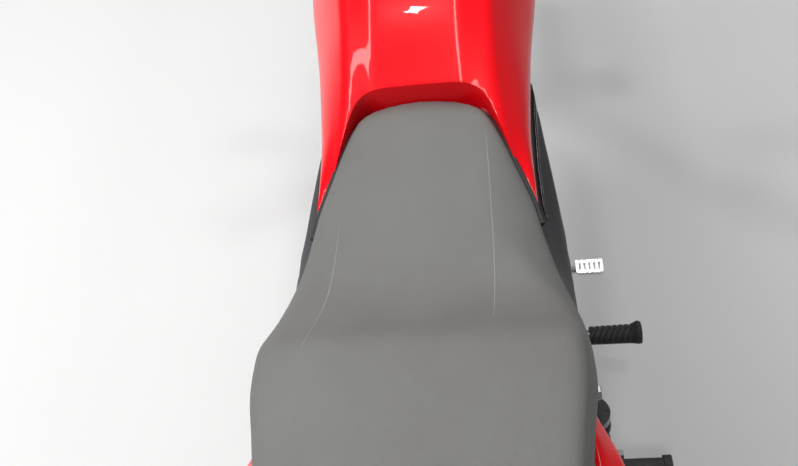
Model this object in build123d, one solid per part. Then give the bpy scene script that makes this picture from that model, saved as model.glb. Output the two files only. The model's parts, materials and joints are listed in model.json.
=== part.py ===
from build123d import *
import math
import os

# A commuter motorcycle parked on its side stand, in millimetres.
# It is built upright: x runs forward from the rear axle, y to the rider's left, z up from the
# ground. The last step leans it to the left on its stand.

# Driving dimensions of the whole machine
lean_angle = 8.0
wheelbase = 1315.0
rake_angle = 26.0
fork_offset = 48.0
running_gap = 0.3

# Wheels
bead_radius = 238.0
front_tyre_height = 70.0
front_tyre_width = 80.0
rear_tyre_height = 74.0
rear_tyre_width = 92.0
crown_drop = 0.02
crown_share = 0.36
rim_width = 62.0
rim_depth = 22.0
flange_height = 9.0
flange_thickness = 4.0
rim_step = 6.0
rim_well_half = 14.0
wall_tuck = 3.0
wall_share = 0.42
bulge_share = 0.62
shoulder_share = 0.9
shoulder_width_share = 0.72
spoke_count = 6
spoke_width = 24.0
spoke_thickness = 20.0
spoke_taper = 0.72
spoke_overlap = 5.0
axle_radius = 8.0
front_hub_radius = 34.0
front_hub_width = 70.0
rear_hub_radius = 80.0
rear_hub_width = 92.0
rear_core_radius = 50.0
cush_radius = 58.0
disc_radius = 120.0
disc_thickness = 4.0
disc_side = -53.0
disc_bore_radius = 30.0
disc_carrier_radius = 44.0
# Rings of holes in the brake disc: circle, number, radius
disc_holes = [(62.0, 5, 20.0), (104.0, 20, 4.0)]

# Fork, steering head and handlebar; places along the steering axis start at the axle's height
fork_spread = 92.0
slider_radius = 22.0
fork_tube_radius = 15.5
lower_clamp_place = 505.0
lower_clamp_depth = 30.0
upper_clamp_place = 722.0
upper_clamp_depth = 18.0
head_tube_radius = 31.0
head_bore_radius = 22.0
stem_radius = 14.0
bar_radius = 11.0
grip_radius = 16.5
grip_length = 118.0
grip_end = 360.0
grip_short = 46.0

# Frame
backbone_radius = 24.0
down_tube_radius = 18.0
seat_tube_radius = 14.0
rail_radius = 11.0
brace_radius = 9.0
pivot_plate_inner = 52.0
pivot_plate_thickness = 8.0
pivot = (440.0, 330.0)
arm_inner = 87.0
arm_thickness = 26.0
arm_boss_radius = 20.0
shock_side = 155.0
shock_top = (150.0, 620.0)
shock_bottom = (30.0, 330.0)
spring_radius = 27.0
spring_wire_radius = 4.2
spring_turns = 9
damper_radius = 15.0
damper_length = 150.0
damper_rod_radius = 6.0
spring_seat_start = 44.0
spring_seat_depth = 6.0
spring_cap_start = 26.0
spring_cap_depth = 8.0
eye_half = 12.0
eye_radius = 17.0
stud_radius = 8.0

# Engine
crankcase_half_width = 80.0
cover_depth = 36.0
cover_round = 12.0
clutch_centre = (598.0, 348.0)
clutch_radius = 92.0
crank_centre = (700.0, 352.0)
alternator_radius = 84.0
sprocket_cover_depth = 16.0
port_radius = 24.0
exhaust_port_height = 118.0
intake_port_height = 124.0
port_reach = 70.0
large_fins_from = 8
large_fin_scale = 1.06
cylinder_foot = (704.0, 470.0)
cylinder_tilt = 15.0
fin_count = 12
fin_pitch = 12.0
fin_thickness = 3.5
fin_width = 124.0
fin_length = 128.0
exhaust_pipe_radius = 16.0
muffler_radius = 46.0
muffler_length = 560.0

# Drive
chain_side = 75.0
chain_pitch = 12.7
chain_height = 11.0
plate_waist = 7.0
chain_width = 14.0
roller_radius = 4.2
sprocket_thickness = 6.0
rear_pitch_radius = 89.0
front_pitch_radius = 30.5
front_sprocket = (530.0, 335.0)
sprocket_teeth = 36
tooth_clearance = 0.9
tooth_height = 4.0
sprocket_hole_circle = 56.0
sprocket_hole_radius = 11.0
gear_shaft = (520.0, 274.0)
gear_shaft_radius = 6.5
pedal_rod_radius = 6.0
toe_rubber_radius = 9.5

# Bodywork
seat_gap = 1.5
pan_thickness = 11.0
pan_inset = 30.0
panel_thickness = 4.0
cap_radius = 37.0

# Controls, pegs and stand
peg_place = (378.0, 330.0)
peg_start = 192.0
peg_end = 267.0
peg_radius = 13.0
peg_spindle_radius = 8.0
peg_grooves = 6
peg_groove_pitch = 8.4
peg_groove_lean = 22.0
hanger_inner = 120.0
hanger_thickness = 8.0
pillion_pivot = (149.0, 400.0)
pillion_peg_start = 206.0
pillion_peg_end = 268.0
peg_pin_side = 205.0
peg_pin_radius = 4.0
rail_lug_x = 266.0
stand_pivot = (452.0, 102.0, 226.0)
stand_foot_place = (496.0, 262.0)
stand_leg_radius = 11.0
stand_boss_half = 12.0
stand_boss_radius = 15.0
shoe_size = (66.0, 46.0, 6.0)
bracket_radius = 6.0
stand_pin_radius = 6.0

UP = (Align.CENTER, Align.CENTER, Align.MIN)
front_tyre_radius = bead_radius + front_tyre_height
rear_tyre_radius = bead_radius + rear_tyre_height
rear_axle_height = rear_tyre_radius
front_axle_height = front_tyre_radius
slider_top = front_tyre_radius + 22
chain_inner_edge = rear_pitch_radius - roller_radius


# Helpers for tubes, plates and turned pieces
def rod(start, end, radius):
    """A round bar between two points."""
    start = Vector(*start)
    axis = Vector(*end) - start
    return Plane(origin=start, z_dir=axis) * Cylinder(radius, axis.length, align=UP)


def cross_rod(place, y_low, y_high, radius):
    """A round bar along y at a place given by x and z."""
    return rod((place[0], y_low, place[1]), (place[0], y_high, place[1]), radius)


def bent_tube(points, radius, bends):
    """A tube along straight runs joined by tangent arcs."""
    path = FilletPolyline(*points, radius=bends)
    return sweep(Plane(origin=path @ 0, z_dir=path % 0) * Circle(radius), path)


def raised(plane, face, depth):
    """A flat face pushed out of its plane."""
    return extrude(plane * face, depth, dir=plane.z_dir)


def side_plane(y, x=0.0, z=0.0):
    """A plane seen from the right, with its depth towards the right."""
    return Plane(origin=(x, y, z), x_dir=(1, 0, 0), z_dir=(0, -1, 0))


def section_plane(x):
    """A plane seen from the front, with its depth towards the front."""
    return Plane(origin=(x, 0, 0), x_dir=(0, 1, 0), z_dir=(1, 0, 0))


def side_plate(outline, y_low, y_high, corner=0):
    """A flat plate whose outline is given in x and z."""
    face = Polygon(*outline, align=None)
    if corner:
        face = fillet(face.vertices(), corner)
    return raised(side_plane(y_high), face, y_high - y_low)


def turned(profile, place, y=0.0):
    """A body turned about y: the profile's points are (y, radius) about a place in x and z."""
    plane = Plane(origin=(place[0], y, place[1]), x_dir=(0, 1, 0), z_dir=(-1, 0, 0))
    axis = Axis(origin=(place[0], y, place[1]), direction=(0, 1, 0))
    return revolve(plane * Polygon(*profile, align=None), axis=axis)


def arch_over(place, profile, start, sweep_angle):
    """A mudguard: the profile turned about a wheel, from start degrees past its top."""
    standing = [(y, z) for y, z in profile]
    arch = revolve(section_plane(0) * Polygon(*standing, align=None), axis=Axis.Y,
                   revolution_arc=sweep_angle)
    return Pos(place[0], 0, place[1]) * Rot(0, start, 0) * arch


def mirrored(shape):
    return mirror(shape, about=Plane.XZ)


def both_sides(shape):
    return [shape, mirrored(shape)]


def block(x, y, z):
    """A box from three (low, high) pairs."""
    size = [pair[1] - pair[0] for pair in (x, y, z)]
    return Pos(x[0], y[0], z[0]) * Box(*size, align=(Align.MIN, Align.MIN, Align.MIN))


# Steering axis
rake = math.radians(rake_angle)
axis_up = Vector(-math.sin(rake), 0, math.cos(rake))
axis_forward = Vector(math.cos(rake), 0, math.sin(rake))
axis_foot = Vector(wheelbase, 0, front_axle_height) - axis_forward * fork_offset
steering_plane = Plane(origin=axis_foot, x_dir=axis_forward, z_dir=axis_up)


def on_steering(forward, y, along):
    """A point given ahead of the steering axis, to the left and along the axis."""
    point = axis_foot + axis_forward * forward + axis_up * along
    return (point.X, y, point.Z)


head_bottom = lower_clamp_place + lower_clamp_depth + 3
head_top = upper_clamp_place - 18


# Wheels
def tyre(place, radius, width):
    half = width / 2
    bead = rim_width / 2 - flange_thickness - running_gap
    lip = bead_radius + flange_height
    crown = radius - bead_radius
    right = [(bead, bead_radius), (bead, lip)]
    right += [(half - wall_tuck, bead_radius + wall_share * crown)]
    right += [(half, bead_radius + bulge_share * crown)]
    right += [(shoulder_width_share * half, bead_radius + shoulder_share * crown)]
    right += [(crown_share * half, radius - crown_drop * crown), (0, radius)]
    left = [(-y, r) for y, r in reversed(right[:-1])]
    return turned(right + left, place)


def rim_ring(place):
    half = rim_width / 2
    low = bead_radius - rim_depth
    lip = bead_radius + flange_height
    step = bead_radius - rim_step
    inside = half - flange_thickness
    profile = [(-half, lip), (-half, step), (-rim_well_half, low), (rim_well_half, low)]
    profile += [(half, step), (half, lip), (inside, lip), (inside, bead_radius)]
    profile += [(-inside, bead_radius), (-inside, lip)]
    return turned(profile, place)


def spokes(place, hub_radius):
    """Straight cast spokes that narrow towards the rim."""
    reach = bead_radius - rim_depth + spoke_overlap
    root = hub_radius - spoke_overlap
    narrow = spoke_width * spoke_taper
    outline = Polygon((root, -spoke_width / 2), (reach, -narrow / 2), (reach, narrow / 2),
                      (root, spoke_width / 2), align=None)
    plane = side_plane(spoke_thickness / 2, *place)
    turns = [Rot(0, 0, (number + 0.5) * 360 / spoke_count) for number in range(spoke_count)]
    return [raised(plane, turn * outline, spoke_thickness) for turn in turns]


def cast_wheel(place, hub_radius, hub_low, hub_high):
    hub = cross_rod(place, hub_low, hub_high, hub_radius)
    wheel = rim_ring(place) + hub
    for spoke in spokes(place, hub_radius):
        wheel += spoke
    bore = cross_rod(place, hub_low - 50, hub_high + 50, axle_radius + running_gap)
    return wheel - bore


rear_centre = (0.0, rear_axle_height)
front_centre = (wheelbase, front_axle_height)
rear_hub_right = -rear_hub_width / 2
carrier_face = chain_side - sprocket_thickness / 2


def rear_wheel():
    wheel = cast_wheel(rear_centre, rear_core_radius, rear_hub_right, carrier_face)
    drum = cross_rod(rear_centre, rear_hub_right, -6, rear_hub_radius)
    carrier = cross_rod(rear_centre, 20, carrier_face - 8, cush_radius)
    bore = cross_rod(rear_centre, -100, 100, axle_radius + running_gap)
    return wheel + drum + carrier - bore


def sprocket():
    """Rear sprocket with short teeth that stay under the chain's rollers."""
    tip = chain_inner_edge - tooth_clearance
    root = tip - tooth_height
    outline = []
    for tooth in range(sprocket_teeth):
        for share, radius in ((0.0, root), (0.34, root), (0.56, tip), (0.78, tip)):
            angle = 2 * math.pi * (tooth + share) / sprocket_teeth
            outline.append((radius * math.cos(angle), radius * math.sin(angle)))
    face = Polygon(*outline, align=None) - Circle(axle_radius + running_gap)
    face -= PolarLocations(sprocket_hole_circle, 6) * Circle(sprocket_hole_radius)
    plane = side_plane(chain_side + sprocket_thickness / 2, *rear_centre)
    return raised(plane, face, sprocket_thickness)


def front_wheel():
    half = front_hub_width / 2
    wheel = cast_wheel(front_centre, front_hub_radius, -half, half)
    carrier = cross_rod(front_centre, disc_side + disc_thickness / 2, 2 - half,
                        disc_carrier_radius)
    bore = cross_rod(front_centre, -100, 100, axle_radius + running_gap)
    return wheel + carrier - bore


def brake_disc():
    face = Circle(disc_radius) - Circle(disc_bore_radius)
    for circle, number, radius in disc_holes:
        face -= PolarLocations(circle, number) * Circle(radius)
    return raised(side_plane(disc_side + disc_thickness / 2, *front_centre), face, disc_thickness)


# Frame and swingarm
backbone_front = on_steering(0, 0, 590)
backbone_back = (500.0, 0.0, 700.0)
down_tube_top = on_steering(0, 0, 600)
down_tube_foot = (862.0, 0.0, 452.0)
plate_outer = pivot_plate_inner + pivot_plate_thickness
plate_middle = pivot_plate_inner + pivot_plate_thickness / 2
rail_points = [(495.0, 20.0, 700.0), (290.0, 98.0, 708.0), (-190.0, 84.0, 742.0)]
engine_back = 478.0
# Tubes across the frame: place in x and z, reach to each side, radius
seat_tube_top = (500.0, 700.0)
rear_cross_tube = (-186.0, 741.7)
hanger_stud = (440.0, 418.0)
cross_tubes = [
    (seat_tube_top, 58.0, seat_tube_radius), (rear_cross_tube, 84.0, brace_radius),
    ((150.0, 718.0), 101.0, brace_radius), ((440.0, 250.0), plate_middle, brace_radius),
]
# Plates of the frame, in x and z: engine mount, swingarm pivot, shock mount
engine_mount_outline = [(-54, -50), (-54, 0), (6, 18), (6, -22)]
pivot_outline = [(412, 228), (engine_back - 2, 228), (engine_back - 2, 440), (425, 440),
                 (402, 350)]
shock_outline = [(126, 724), (178, 724), (168, 604), (132, 604)]


def frame():
    made = rod(on_steering(0, 0, head_bottom), on_steering(0, 0, head_top), head_tube_radius)
    made += rod(backbone_front, backbone_back, backbone_radius)
    made += rod(down_tube_top, down_tube_foot, down_tube_radius)
    made -= rod(on_steering(0, 0, head_bottom - 5), on_steering(0, 0, head_top + 5),
                head_bore_radius)
    mount = [(down_tube_foot[0] + x, down_tube_foot[2] + z) for x, z in engine_mount_outline]
    made += side_plate(mount, -12, 12)
    for side in (1, -1):
        made += rod((seat_tube_top[0], 46 * side, seat_tube_top[1]),
                    (452, plate_middle * side, 425), seat_tube_radius)
        low, high = sorted((side * pivot_plate_inner, side * plate_outer))
        made += side_plate(pivot_outline, low, high, 10)
        rail = [(x, y * side, z) for x, y, z in rail_points]
        made += bent_tube(rail, rail_radius, 40)
        made += rod((450, plate_middle * side, 428), (176, 103 * side, 704), brace_radius)
        low, high = sorted((side * 100, side * 109))
        made += side_plate(shock_outline, low, high, 8)
        low, high = sorted((side * 102, side * (shock_side + 14)))
        made += cross_rod(shock_top, low, high, stud_radius)
        low, high = sorted((side * pivot_plate_inner, side * (hanger_inner - running_gap)))
        made += cross_rod(hanger_stud, low, high, 10)
    for place, reach, radius in cross_tubes:
        made += cross_rod(place, -reach, reach, radius)
    made += cross_rod(pivot, 0.1 - hanger_inner + running_gap, hanger_inner - running_gap - 0.1,
                      axle_radius)
    return made


def swingarm():
    x, z = pivot
    axle_z = rear_axle_height
    outline = [(x + 20, z - 18), (x + 20, z + 18), (x - 50, z + 20), (0, axle_z + 20),
               (-40, axle_z + 15), (-40, axle_z - 15), (0, axle_z - 20), (x - 50, z - 20)]
    made = None
    for side in (1, -1):
        low, high = sorted((side * arm_inner, side * (arm_inner + arm_thickness)))
        arm = side_plate(outline, low, high, 4)
        made = arm if made is None else made + arm
        low, high = sorted((side * (plate_outer + running_gap), side * (arm_inner + 4)))
        made += cross_rod(pivot, low, high, arm_boss_radius)
        low, high = sorted((side * (arm_inner + arm_thickness - 4), side * (shock_side + 14)))
        made += cross_rod(shock_bottom, low, high, stud_radius)
    made += cross_rod((x - 68, z), -arm_inner - 4, arm_inner + 4, 17)
    made -= cross_rod(pivot, -130, 130, axle_radius + running_gap)
    made -= cross_rod(rear_centre, -130, 130, axle_radius)
    return made


def rear_axle():
    reach = arm_inner + arm_thickness
    made = cross_rod(rear_centre, -reach - 12, reach + 12, axle_radius)
    left_face = chain_side + sprocket_thickness / 2 + running_gap
    made += cross_rod(rear_centre, left_face, arm_inner, 15)
    for side in (1, -1):
        low, high = sorted((side * reach, side * (reach + 9)))
        made += raised(side_plane(high, *rear_centre), RegularPolygon(13, 6), high - low)
    return made


# Rear brake: arm outline in x and height over the axle, and the rod's front end
brake_arm_outline = [(-56, -30), (-38, -30), (-56, -92), (-70, -92)]
brake_rod_front = (386.0, -127.0, 282.0)
brake_rod_radius = 3.5


def rear_brake_plate():
    face = rear_hub_right - running_gap
    made = cross_rod(rear_centre, face - 9, face, rear_hub_radius - 3)
    made += cross_rod(rear_centre, -arm_inner, face - 5, 16)
    made += cross_rod((-46, rear_axle_height - 34), face - 22, face - 5, 9)
    lever = [(x, rear_axle_height + z) for x, z in brake_arm_outline]
    made += side_plate(lever, face - 22, face - 16, 3)
    made += rod((-62, face - 19, rear_axle_height - 84), brake_rod_front, brake_rod_radius)
    return made - cross_rod(rear_centre, -130, 0, axle_radius)


def shock_dampers():
    made = []
    for side in (1, -1):
        top = (shock_top[0], side * shock_side, shock_top[1])
        low = (shock_bottom[0], side * shock_side, shock_bottom[1])
        along = (Vector(*top) - Vector(*low)).normalized()
        body_end = Vector(*low) + along * damper_length
        seat = Vector(*low) + along * spring_seat_start
        cap = Vector(*top) - along * spring_cap_start
        damper = rod(low, tuple(body_end), damper_radius)
        damper += rod(tuple(body_end), top, damper_rod_radius)
        damper += rod(tuple(seat), tuple(seat + along * spring_seat_depth), spring_radius + 3)
        damper += rod(tuple(cap - along * spring_cap_depth), tuple(cap), spring_radius + 3)
        for eye in (shock_top, shock_bottom):
            damper += cross_rod(eye, side * shock_side - eye_half, side * shock_side + eye_half,
                                eye_radius)
        for eye in (shock_top, shock_bottom):
            damper -= cross_rod(eye, side * shock_side - 20, side * shock_side + 20,
                                stud_radius + running_gap)
        made.append(damper)
    return made


def shock_springs():
    made = []
    for side in (1, -1):
        top = Vector(shock_top[0], side * shock_side, shock_top[1])
        low = Vector(shock_bottom[0], side * shock_side, shock_bottom[1])
        along = (top - low).normalized()
        start = low + along * (spring_seat_start + spring_seat_depth + spring_wire_radius
                               + running_gap)
        finish = top - along * (spring_cap_start + spring_cap_depth + spring_wire_radius
                                + running_gap)
        length = (finish - start).length
        coil = Helix(pitch=length / spring_turns, height=length, radius=spring_radius - 0.5)
        wire = sweep(Plane(origin=coil @ 0, z_dir=coil % 0) * Circle(spring_wire_radius), coil,
                     is_frenet=True)
        made.append(Plane(origin=start, z_dir=along) * wire)
    return made


# Engine
tilt = math.radians(cylinder_tilt)
cylinder_plane = Plane(origin=(cylinder_foot[0], 0, cylinder_foot[1]),
                       x_dir=(math.cos(tilt), 0, -math.sin(tilt)),
                       z_dir=(math.sin(tilt), 0, math.cos(tilt)))
head_height = fin_count * fin_pitch + 14
# Plain blocks of the cylinder: start above its foot, depth, length, width, corner radius
cylinder_blocks = [
    (0, 9, 108, 108, 12), (head_height - 2, 22, 112, 104, 22), (head_height + 16, 14, 70, 74, 14),
]


def crankcase():
    deck = [cylinder_plane.from_local_coords(Vector(reach, 0, 0)) for reach in (74, -74)]
    top = [(point.X, point.Z) for point in deck]
    outline = [(engine_back, 300), (500, 236), (600, 224), (770, 232), (808, 290), (808, 420),
               *top, (540, 452), (engine_back, 420)]
    made = side_plate(outline, -crankcase_half_width, 60, 12)
    front_half = [(575, 226), (770, 234), (808, 290), (808, 420), *top, (575, 460)]
    made += side_plate(front_half, 50, crankcase_half_width, 12)
    made += cross_rod(front_sprocket, 50, chain_side + sprocket_thickness / 2, 12)
    made += cross_rod(front_sprocket, carrier_face, chain_side + sprocket_thickness / 2,
                      front_pitch_radius - roller_radius - running_gap)
    return made


def clutch_cover():
    """Right-hand engine cover: the outline of the clutch joined to that of the crank."""
    clutch = Pos(*clutch_centre) * Circle(clutch_radius)
    crank = Pos(715, crank_centre[1]) * Circle(72)
    shape = make_hull([*clutch.edges(), *crank.edges()])
    made = raised(side_plane(-crankcase_half_width), shape, cover_depth)
    made = fillet(made.faces().sort_by(Axis.Y)[0].edges(), cover_round)
    made += cross_rod(clutch_centre, -crankcase_half_width - cover_depth - 4,
                      -crankcase_half_width - 4, 58)
    return made


def alternator_cover():
    outer = crankcase_half_width + cover_depth
    made = cross_rod(crank_centre, crankcase_half_width, outer, alternator_radius)
    made = fillet(made.faces().sort_by(Axis.Y)[-1].edges(), cover_round)
    return made


def sprocket_cover():
    """Left rear cover, hollow round the chain and open at its back."""
    wall = 5.0
    outer = crankcase_half_width + sprocket_cover_depth
    inner = 60 + running_gap
    outline = [(484, 272), (560, 262), (604, 262), (612, 300), (612, 400), (560, 412), (484, 402)]
    hollow = [(470, 282), (572, 282), (572, 395), (470, 395)]
    made = side_plate(outline, inner, outer, 8)
    made -= side_plate(hollow, inner - 5, outer - wall, 0)
    made -= side_plate([(566, 220), (840, 220), (840, 490), (566, 490)], 40,
                       crankcase_half_width + running_gap)
    made -= cross_rod(gear_shaft, 50, 130, gear_shaft_radius + running_gap)
    return made - cross_rod(crank_centre, 60, 130, alternator_radius + running_gap)


def cylinder():
    """Cylinder and head with cooling fins, and the plain rocker cover on top."""
    made = Cylinder(46, head_height, align=UP)
    for number in range(fin_count):
        height = 12 + number * fin_pitch
        grown = 1.0 if number < large_fins_from else large_fin_scale
        fin = RectangleRounded(fin_length * grown, fin_width * grown, 20)
        made += Pos(0, 0, height) * extrude(fin, fin_thickness)
    for start, depth, length, width, corner in cylinder_blocks:
        made += Pos(0, 0, start) * extrude(RectangleRounded(length, width, corner), depth)
    for end, height in ((port_reach, exhaust_port_height), (-port_reach, intake_port_height)):
        made += rod((end * 4 / 7, 0, height), (end, 0, height), port_radius)
    return cylinder_plane * made


exhaust_port = cylinder_plane.from_local_coords(Vector(port_reach, 0, exhaust_port_height))
intake_port = cylinder_plane.from_local_coords(Vector(-port_reach, 0, intake_port_height))
muffler_front = (360.0, -146.0, 222.0)
muffler_axis = Vector(-590, -12, 63).normalized()


def exhaust_pipe():
    start = exhaust_port + cylinder_plane.x_dir * running_gap
    points = [tuple(start), tuple(start + cylinder_plane.x_dir * 42), (866, -72, 430),
              (838, -86, 250), (780, -112, 203), (440, -140, 203),
              tuple(Vector(*muffler_front) - muffler_axis * 50), muffler_front]
    return bent_tube(points, exhaust_pipe_radius, [26, 42, 45, 40, 60, 60])


def muffler():
    profile = [(0, 0), (exhaust_pipe_radius + 3, 0), (exhaust_pipe_radius + 3, 14),
               (muffler_radius - 4, 92), (muffler_radius, 104),
               (muffler_radius, muffler_length - 24), (muffler_radius - 8, muffler_length),
               (16, muffler_length), (14, muffler_length + 36), (0, muffler_length + 36)]
    body = revolve(Plane.XZ * Polygon(*profile, align=None), axis=Axis.Z)
    body -= Pos(0, 0, muffler_length - 20) * Cylinder(11, 80, align=UP)
    made = Plane(origin=Vector(*muffler_front) + muffler_axis * running_gap,
                 z_dir=muffler_axis) * body
    strap = side_plate([(224, 245), (252, 245), (198, pillion_pivot[1] - 12),
                        (182, pillion_pivot[1] - 12)], -187, -182, 2)
    return made + strap


def heat_shield():
    inner = muffler_radius + 2.5
    sleeve = Cylinder(inner + 2, 190, align=UP) - Cylinder(inner, 190, align=UP)
    sleeve -= Pos(inner + 22, 0, 0) * Box(2 * inner + 40, 4 * inner, 190, align=UP)
    for height in (20, 160):
        lug = Pos(-muffler_radius - 1, 0, height) * Box(6, 12, 10, align=UP)
        sleeve += lug - Cylinder(muffler_radius, 190, align=UP)
    plane = Plane(origin=Vector(*muffler_front) + muffler_axis * 166, x_dir=(0.1, 1, -0.1),
                  z_dir=muffler_axis)
    return plane * sleeve


def intake():
    box = block((328, 412), (-50, 50), (478, 640))
    made = fillet(box.edges().filter_by(Axis.Y), 14)
    start = intake_port - cylinder_plane.x_dir * running_gap
    made += bent_tube([tuple(start), tuple(start - cylinder_plane.x_dir * 60), (405, 0, 590)],
                      22, 60)
    return made


# Chain loop round both sprockets
def loop_outline(front_radius, rear_radius):
    """Belt outline round both sprockets: two tangent lines and two arcs, as a face."""
    big = Pos(0, rear_axle_height) * Circle(rear_radius)
    small = Pos(*front_sprocket) * Circle(front_radius)
    return make_hull([*big.edges(), *small.edges()])


def chain_points():
    """Pin and mid-link places along the pitch line, each with its outward direction."""
    span_x = front_sprocket[0]
    span_z = front_sprocket[1] - rear_axle_height
    span = math.hypot(span_x, span_z)
    slope = math.atan2(span_z, span_x)
    spread = math.asin((rear_pitch_radius - front_pitch_radius) / span)
    straight = math.sqrt(span ** 2 - (rear_pitch_radius - front_pitch_radius) ** 2)
    rear_arc = rear_pitch_radius * (math.pi + 2 * spread)
    front_arc = front_pitch_radius * (math.pi - 2 * spread)
    total = 2 * straight + rear_arc + front_arc
    steps = 2 * round(total / chain_pitch)
    top = slope + math.pi / 2 - spread
    bottom = slope - math.pi / 2 + spread
    places = []
    for number in range(steps):
        travel = total * number / steps
        if travel < straight:
            angle = top
            base = (rear_pitch_radius * math.cos(top), rear_axle_height
                    + rear_pitch_radius * math.sin(top))
            run = travel
        elif travel < straight + front_arc:
            angle = top - (travel - straight) / front_pitch_radius
            base = (front_sprocket[0] + front_pitch_radius * math.cos(angle),
                    front_sprocket[1] + front_pitch_radius * math.sin(angle))
            run = 0
        elif travel < 2 * straight + front_arc:
            angle = bottom
            base = (front_sprocket[0] + front_pitch_radius * math.cos(bottom),
                    front_sprocket[1] + front_pitch_radius * math.sin(bottom))
            run = travel - straight - front_arc
        else:
            angle = bottom - (travel - 2 * straight - front_arc) / rear_pitch_radius
            base = (rear_pitch_radius * math.cos(angle), rear_axle_height
                    + rear_pitch_radius * math.sin(angle))
            run = 0
        ahead = angle - math.pi / 2
        places.append((base[0] + run * math.cos(ahead), base[1] + run * math.sin(ahead), angle,
                       number % 2))
    return places


def chain():
    """Closed roller chain: waisted side plates on a narrower band of rollers."""
    places = chain_points()
    edges = []
    for sign in (1, -1):
        edge = []
        for x, z, angle, waist in places:
            reach = sign * (plate_waist if waist else chain_height) / 2
            edge.append((x + reach * math.cos(angle), z + reach * math.sin(angle)))
        edges.append(Polygon(*edge, align=None))
    plates = edges[0] - edges[1]
    rollers = loop_outline(front_pitch_radius + 3, rear_pitch_radius + 3)
    rollers -= loop_outline(front_pitch_radius - roller_radius, chain_inner_edge)
    half = chain_width / 2
    plane = side_plane(chain_side + half)
    made = raised(plane, rollers, chain_width)
    for shift in (0, chain_width - 2.5):
        made += raised(plane.offset(shift), plates, 2.5)
    return made


def chain_guard():
    low = chain_side - 12
    back, top = rear_axle_height + 124, rear_axle_height + 128
    roof = [(-110, back), (60, top), (400, 400), (400, 392), (60, top - 8), (-110, back - 8)]
    made = side_plate(roof, low, arm_inner + 2)
    skirt = [(-110, back), (60, top), (400, 400), (400, 376), (60, top - 36), (-110, back - 28)]
    made += side_plate(skirt, arm_inner - 1, arm_inner + 2)
    arm_slope = (pivot[1] - rear_axle_height) / (pivot[0] - 50)
    for x in (60, 330):
        foot = rear_axle_height + 20 + running_gap + (x + 8) * arm_slope
        made += block((x - 8, x + 8), (arm_inner - 1, arm_inner + 2), (foot, foot + 90))
    keep = [(-200, 300), (-200, back - 0.1), (60, top), (400, 400), (400, 300)]
    return made & side_plate(keep, -200, 200)


# Seat stations: x, half width and height of the edge, half width of the flat top, bottom
# height, top height
seat_stations = [
    (436, 38, 788, 30, 768, 797), (428, 58, 789, 50, 764, 799), (415, 73, 789, 66, 760, 800),
    (388, 87, 785, 72, 752, 798), (348, 103, 774, 73, 745, 793), (310, 117, 764, 75, 742, 789),
    (270, 126, 757, 80, 740, 786), (230, 138, 757, 100, 740, 787),
    (200, 150, 766, 122, 742, 793), (172, 159, 780, 140, 747, 808),
    (147, 161, 790, 147, 751, 820), (112, 160, 799, 148, 756, 831),
    (40, 154, 805, 142, 764, 836), (-60, 138, 810, 126, 773, 841),
    (-160, 110, 815, 98, 781, 843), (-230, 78, 815, 68, 787, 841),
    (-262, 46, 812, 38, 796, 834),
]
hem_inset = 7.0
top_crown = 5.0


def seat_section(x, half, edge_z, flat, low, high):
    points = [(half - hem_inset, low), (half, edge_z), (flat, high - top_crown)]
    left = [(-y, z) for y, z in reversed(points)]
    with BuildSketch(section_plane(x)) as sketch:
        with BuildLine():
            Polyline(*left, points[0])
            Polyline(*points)
            ThreePointArc(points[-1], (0, high), left[0])
        make_face()
    return sketch.sketch


def seat_cushion():
    return loft([seat_section(*station) for station in seat_stations], ruled=True)


def seat_base():
    """Base pan under the cushion, with feet on the frame's rails."""
    top = [section_plane(x) * Polygon((pan_inset - half, low - running_gap),
                                      (half - pan_inset, low - running_gap),
                                      (half - pan_inset - 6, low - pan_thickness),
                                      (pan_inset + 6 - half, low - pan_thickness), align=None)
           for x, half, edge_z, flat, low, high in seat_stations[3:-2]]
    made = loft(top, ruled=True)
    start, end = rail_points[1], rail_points[2]
    for x in (240, -120):
        share = (start[0] - x) / (start[0] - end[0])
        y = start[1] + share * (end[1] - start[1])
        z = start[2] + share * (end[2] - start[2]) + rail_radius + running_gap
        width = 12 if x > 0 else 6
        centre = min(y, 86) if x > 0 else 72
        lift = 30
        for side in (1, -1):
            foot = block((x - 14, x + 14), (side * centre - width, side * centre + width),
                         (z, z + lift))
            keep = foot & side_plate([(300, 500), (300, 732), (240, 732), (-60, 764),
                                      (-200, 776), (-200, 500)], -200, 200)
            made += keep - rod((start[0], side * start[1], start[2]),
                               (end[0], side * end[1], end[2]), rail_radius + running_gap)
    return made


# Tank stations: share of the tank's length, top height, then half width and height of the
# crease, the belly and the lower edge
tank_tail = 316.0
tank_front = on_steering(0, 0, head_top)[0] - 25
tank_stations = [(tank_tail + share * (tank_front - tank_tail), *rest) for share, *rest in [
    (0, 752, 104, 750, 123, 742, 120, 732), (0.135, 800, 92, 792, 121, 750, 112, 724),
    (0.207, 832, 84, 821, 123, 755, 108, 722), (0.333, 862, 84, 848, 129, 762, 105, 722),
    (0.521, 894, 92, 872, 143, 770, 110, 722), (0.73, 906, 94, 880, 150, 776, 112, 724),
    (0.907, 893, 78, 864, 130, 780, 95, 738), (1, 850, 40, 838, 62, 798, 50, 764),
]]
cap_place = tank_tail + 0.695 * (tank_front - tank_tail)


def tank_section(x, top, crease_y, crease_z, belly_y, belly_z, low_y, low_z):
    points = [(low_y, low_z), (belly_y, belly_z), (crease_y, crease_z)]
    left = [(-y, z) for y, z in reversed(points)]
    with BuildSketch(section_plane(x)) as sketch:
        with BuildLine():
            Polyline(*left, points[0])
            Polyline(*points)
            ThreePointArc(points[-1], (0, top), left[0])
        make_face()
        bends = [v for v in sketch.vertices() if abs(v.Z - belly_z) < 0.01]
        fillet(bends, 9)
        creases = [v for v in sketch.vertices() if abs(v.Z - crease_z) < 0.01]
        fillet(creases, 5)
    return sketch.sketch


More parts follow.
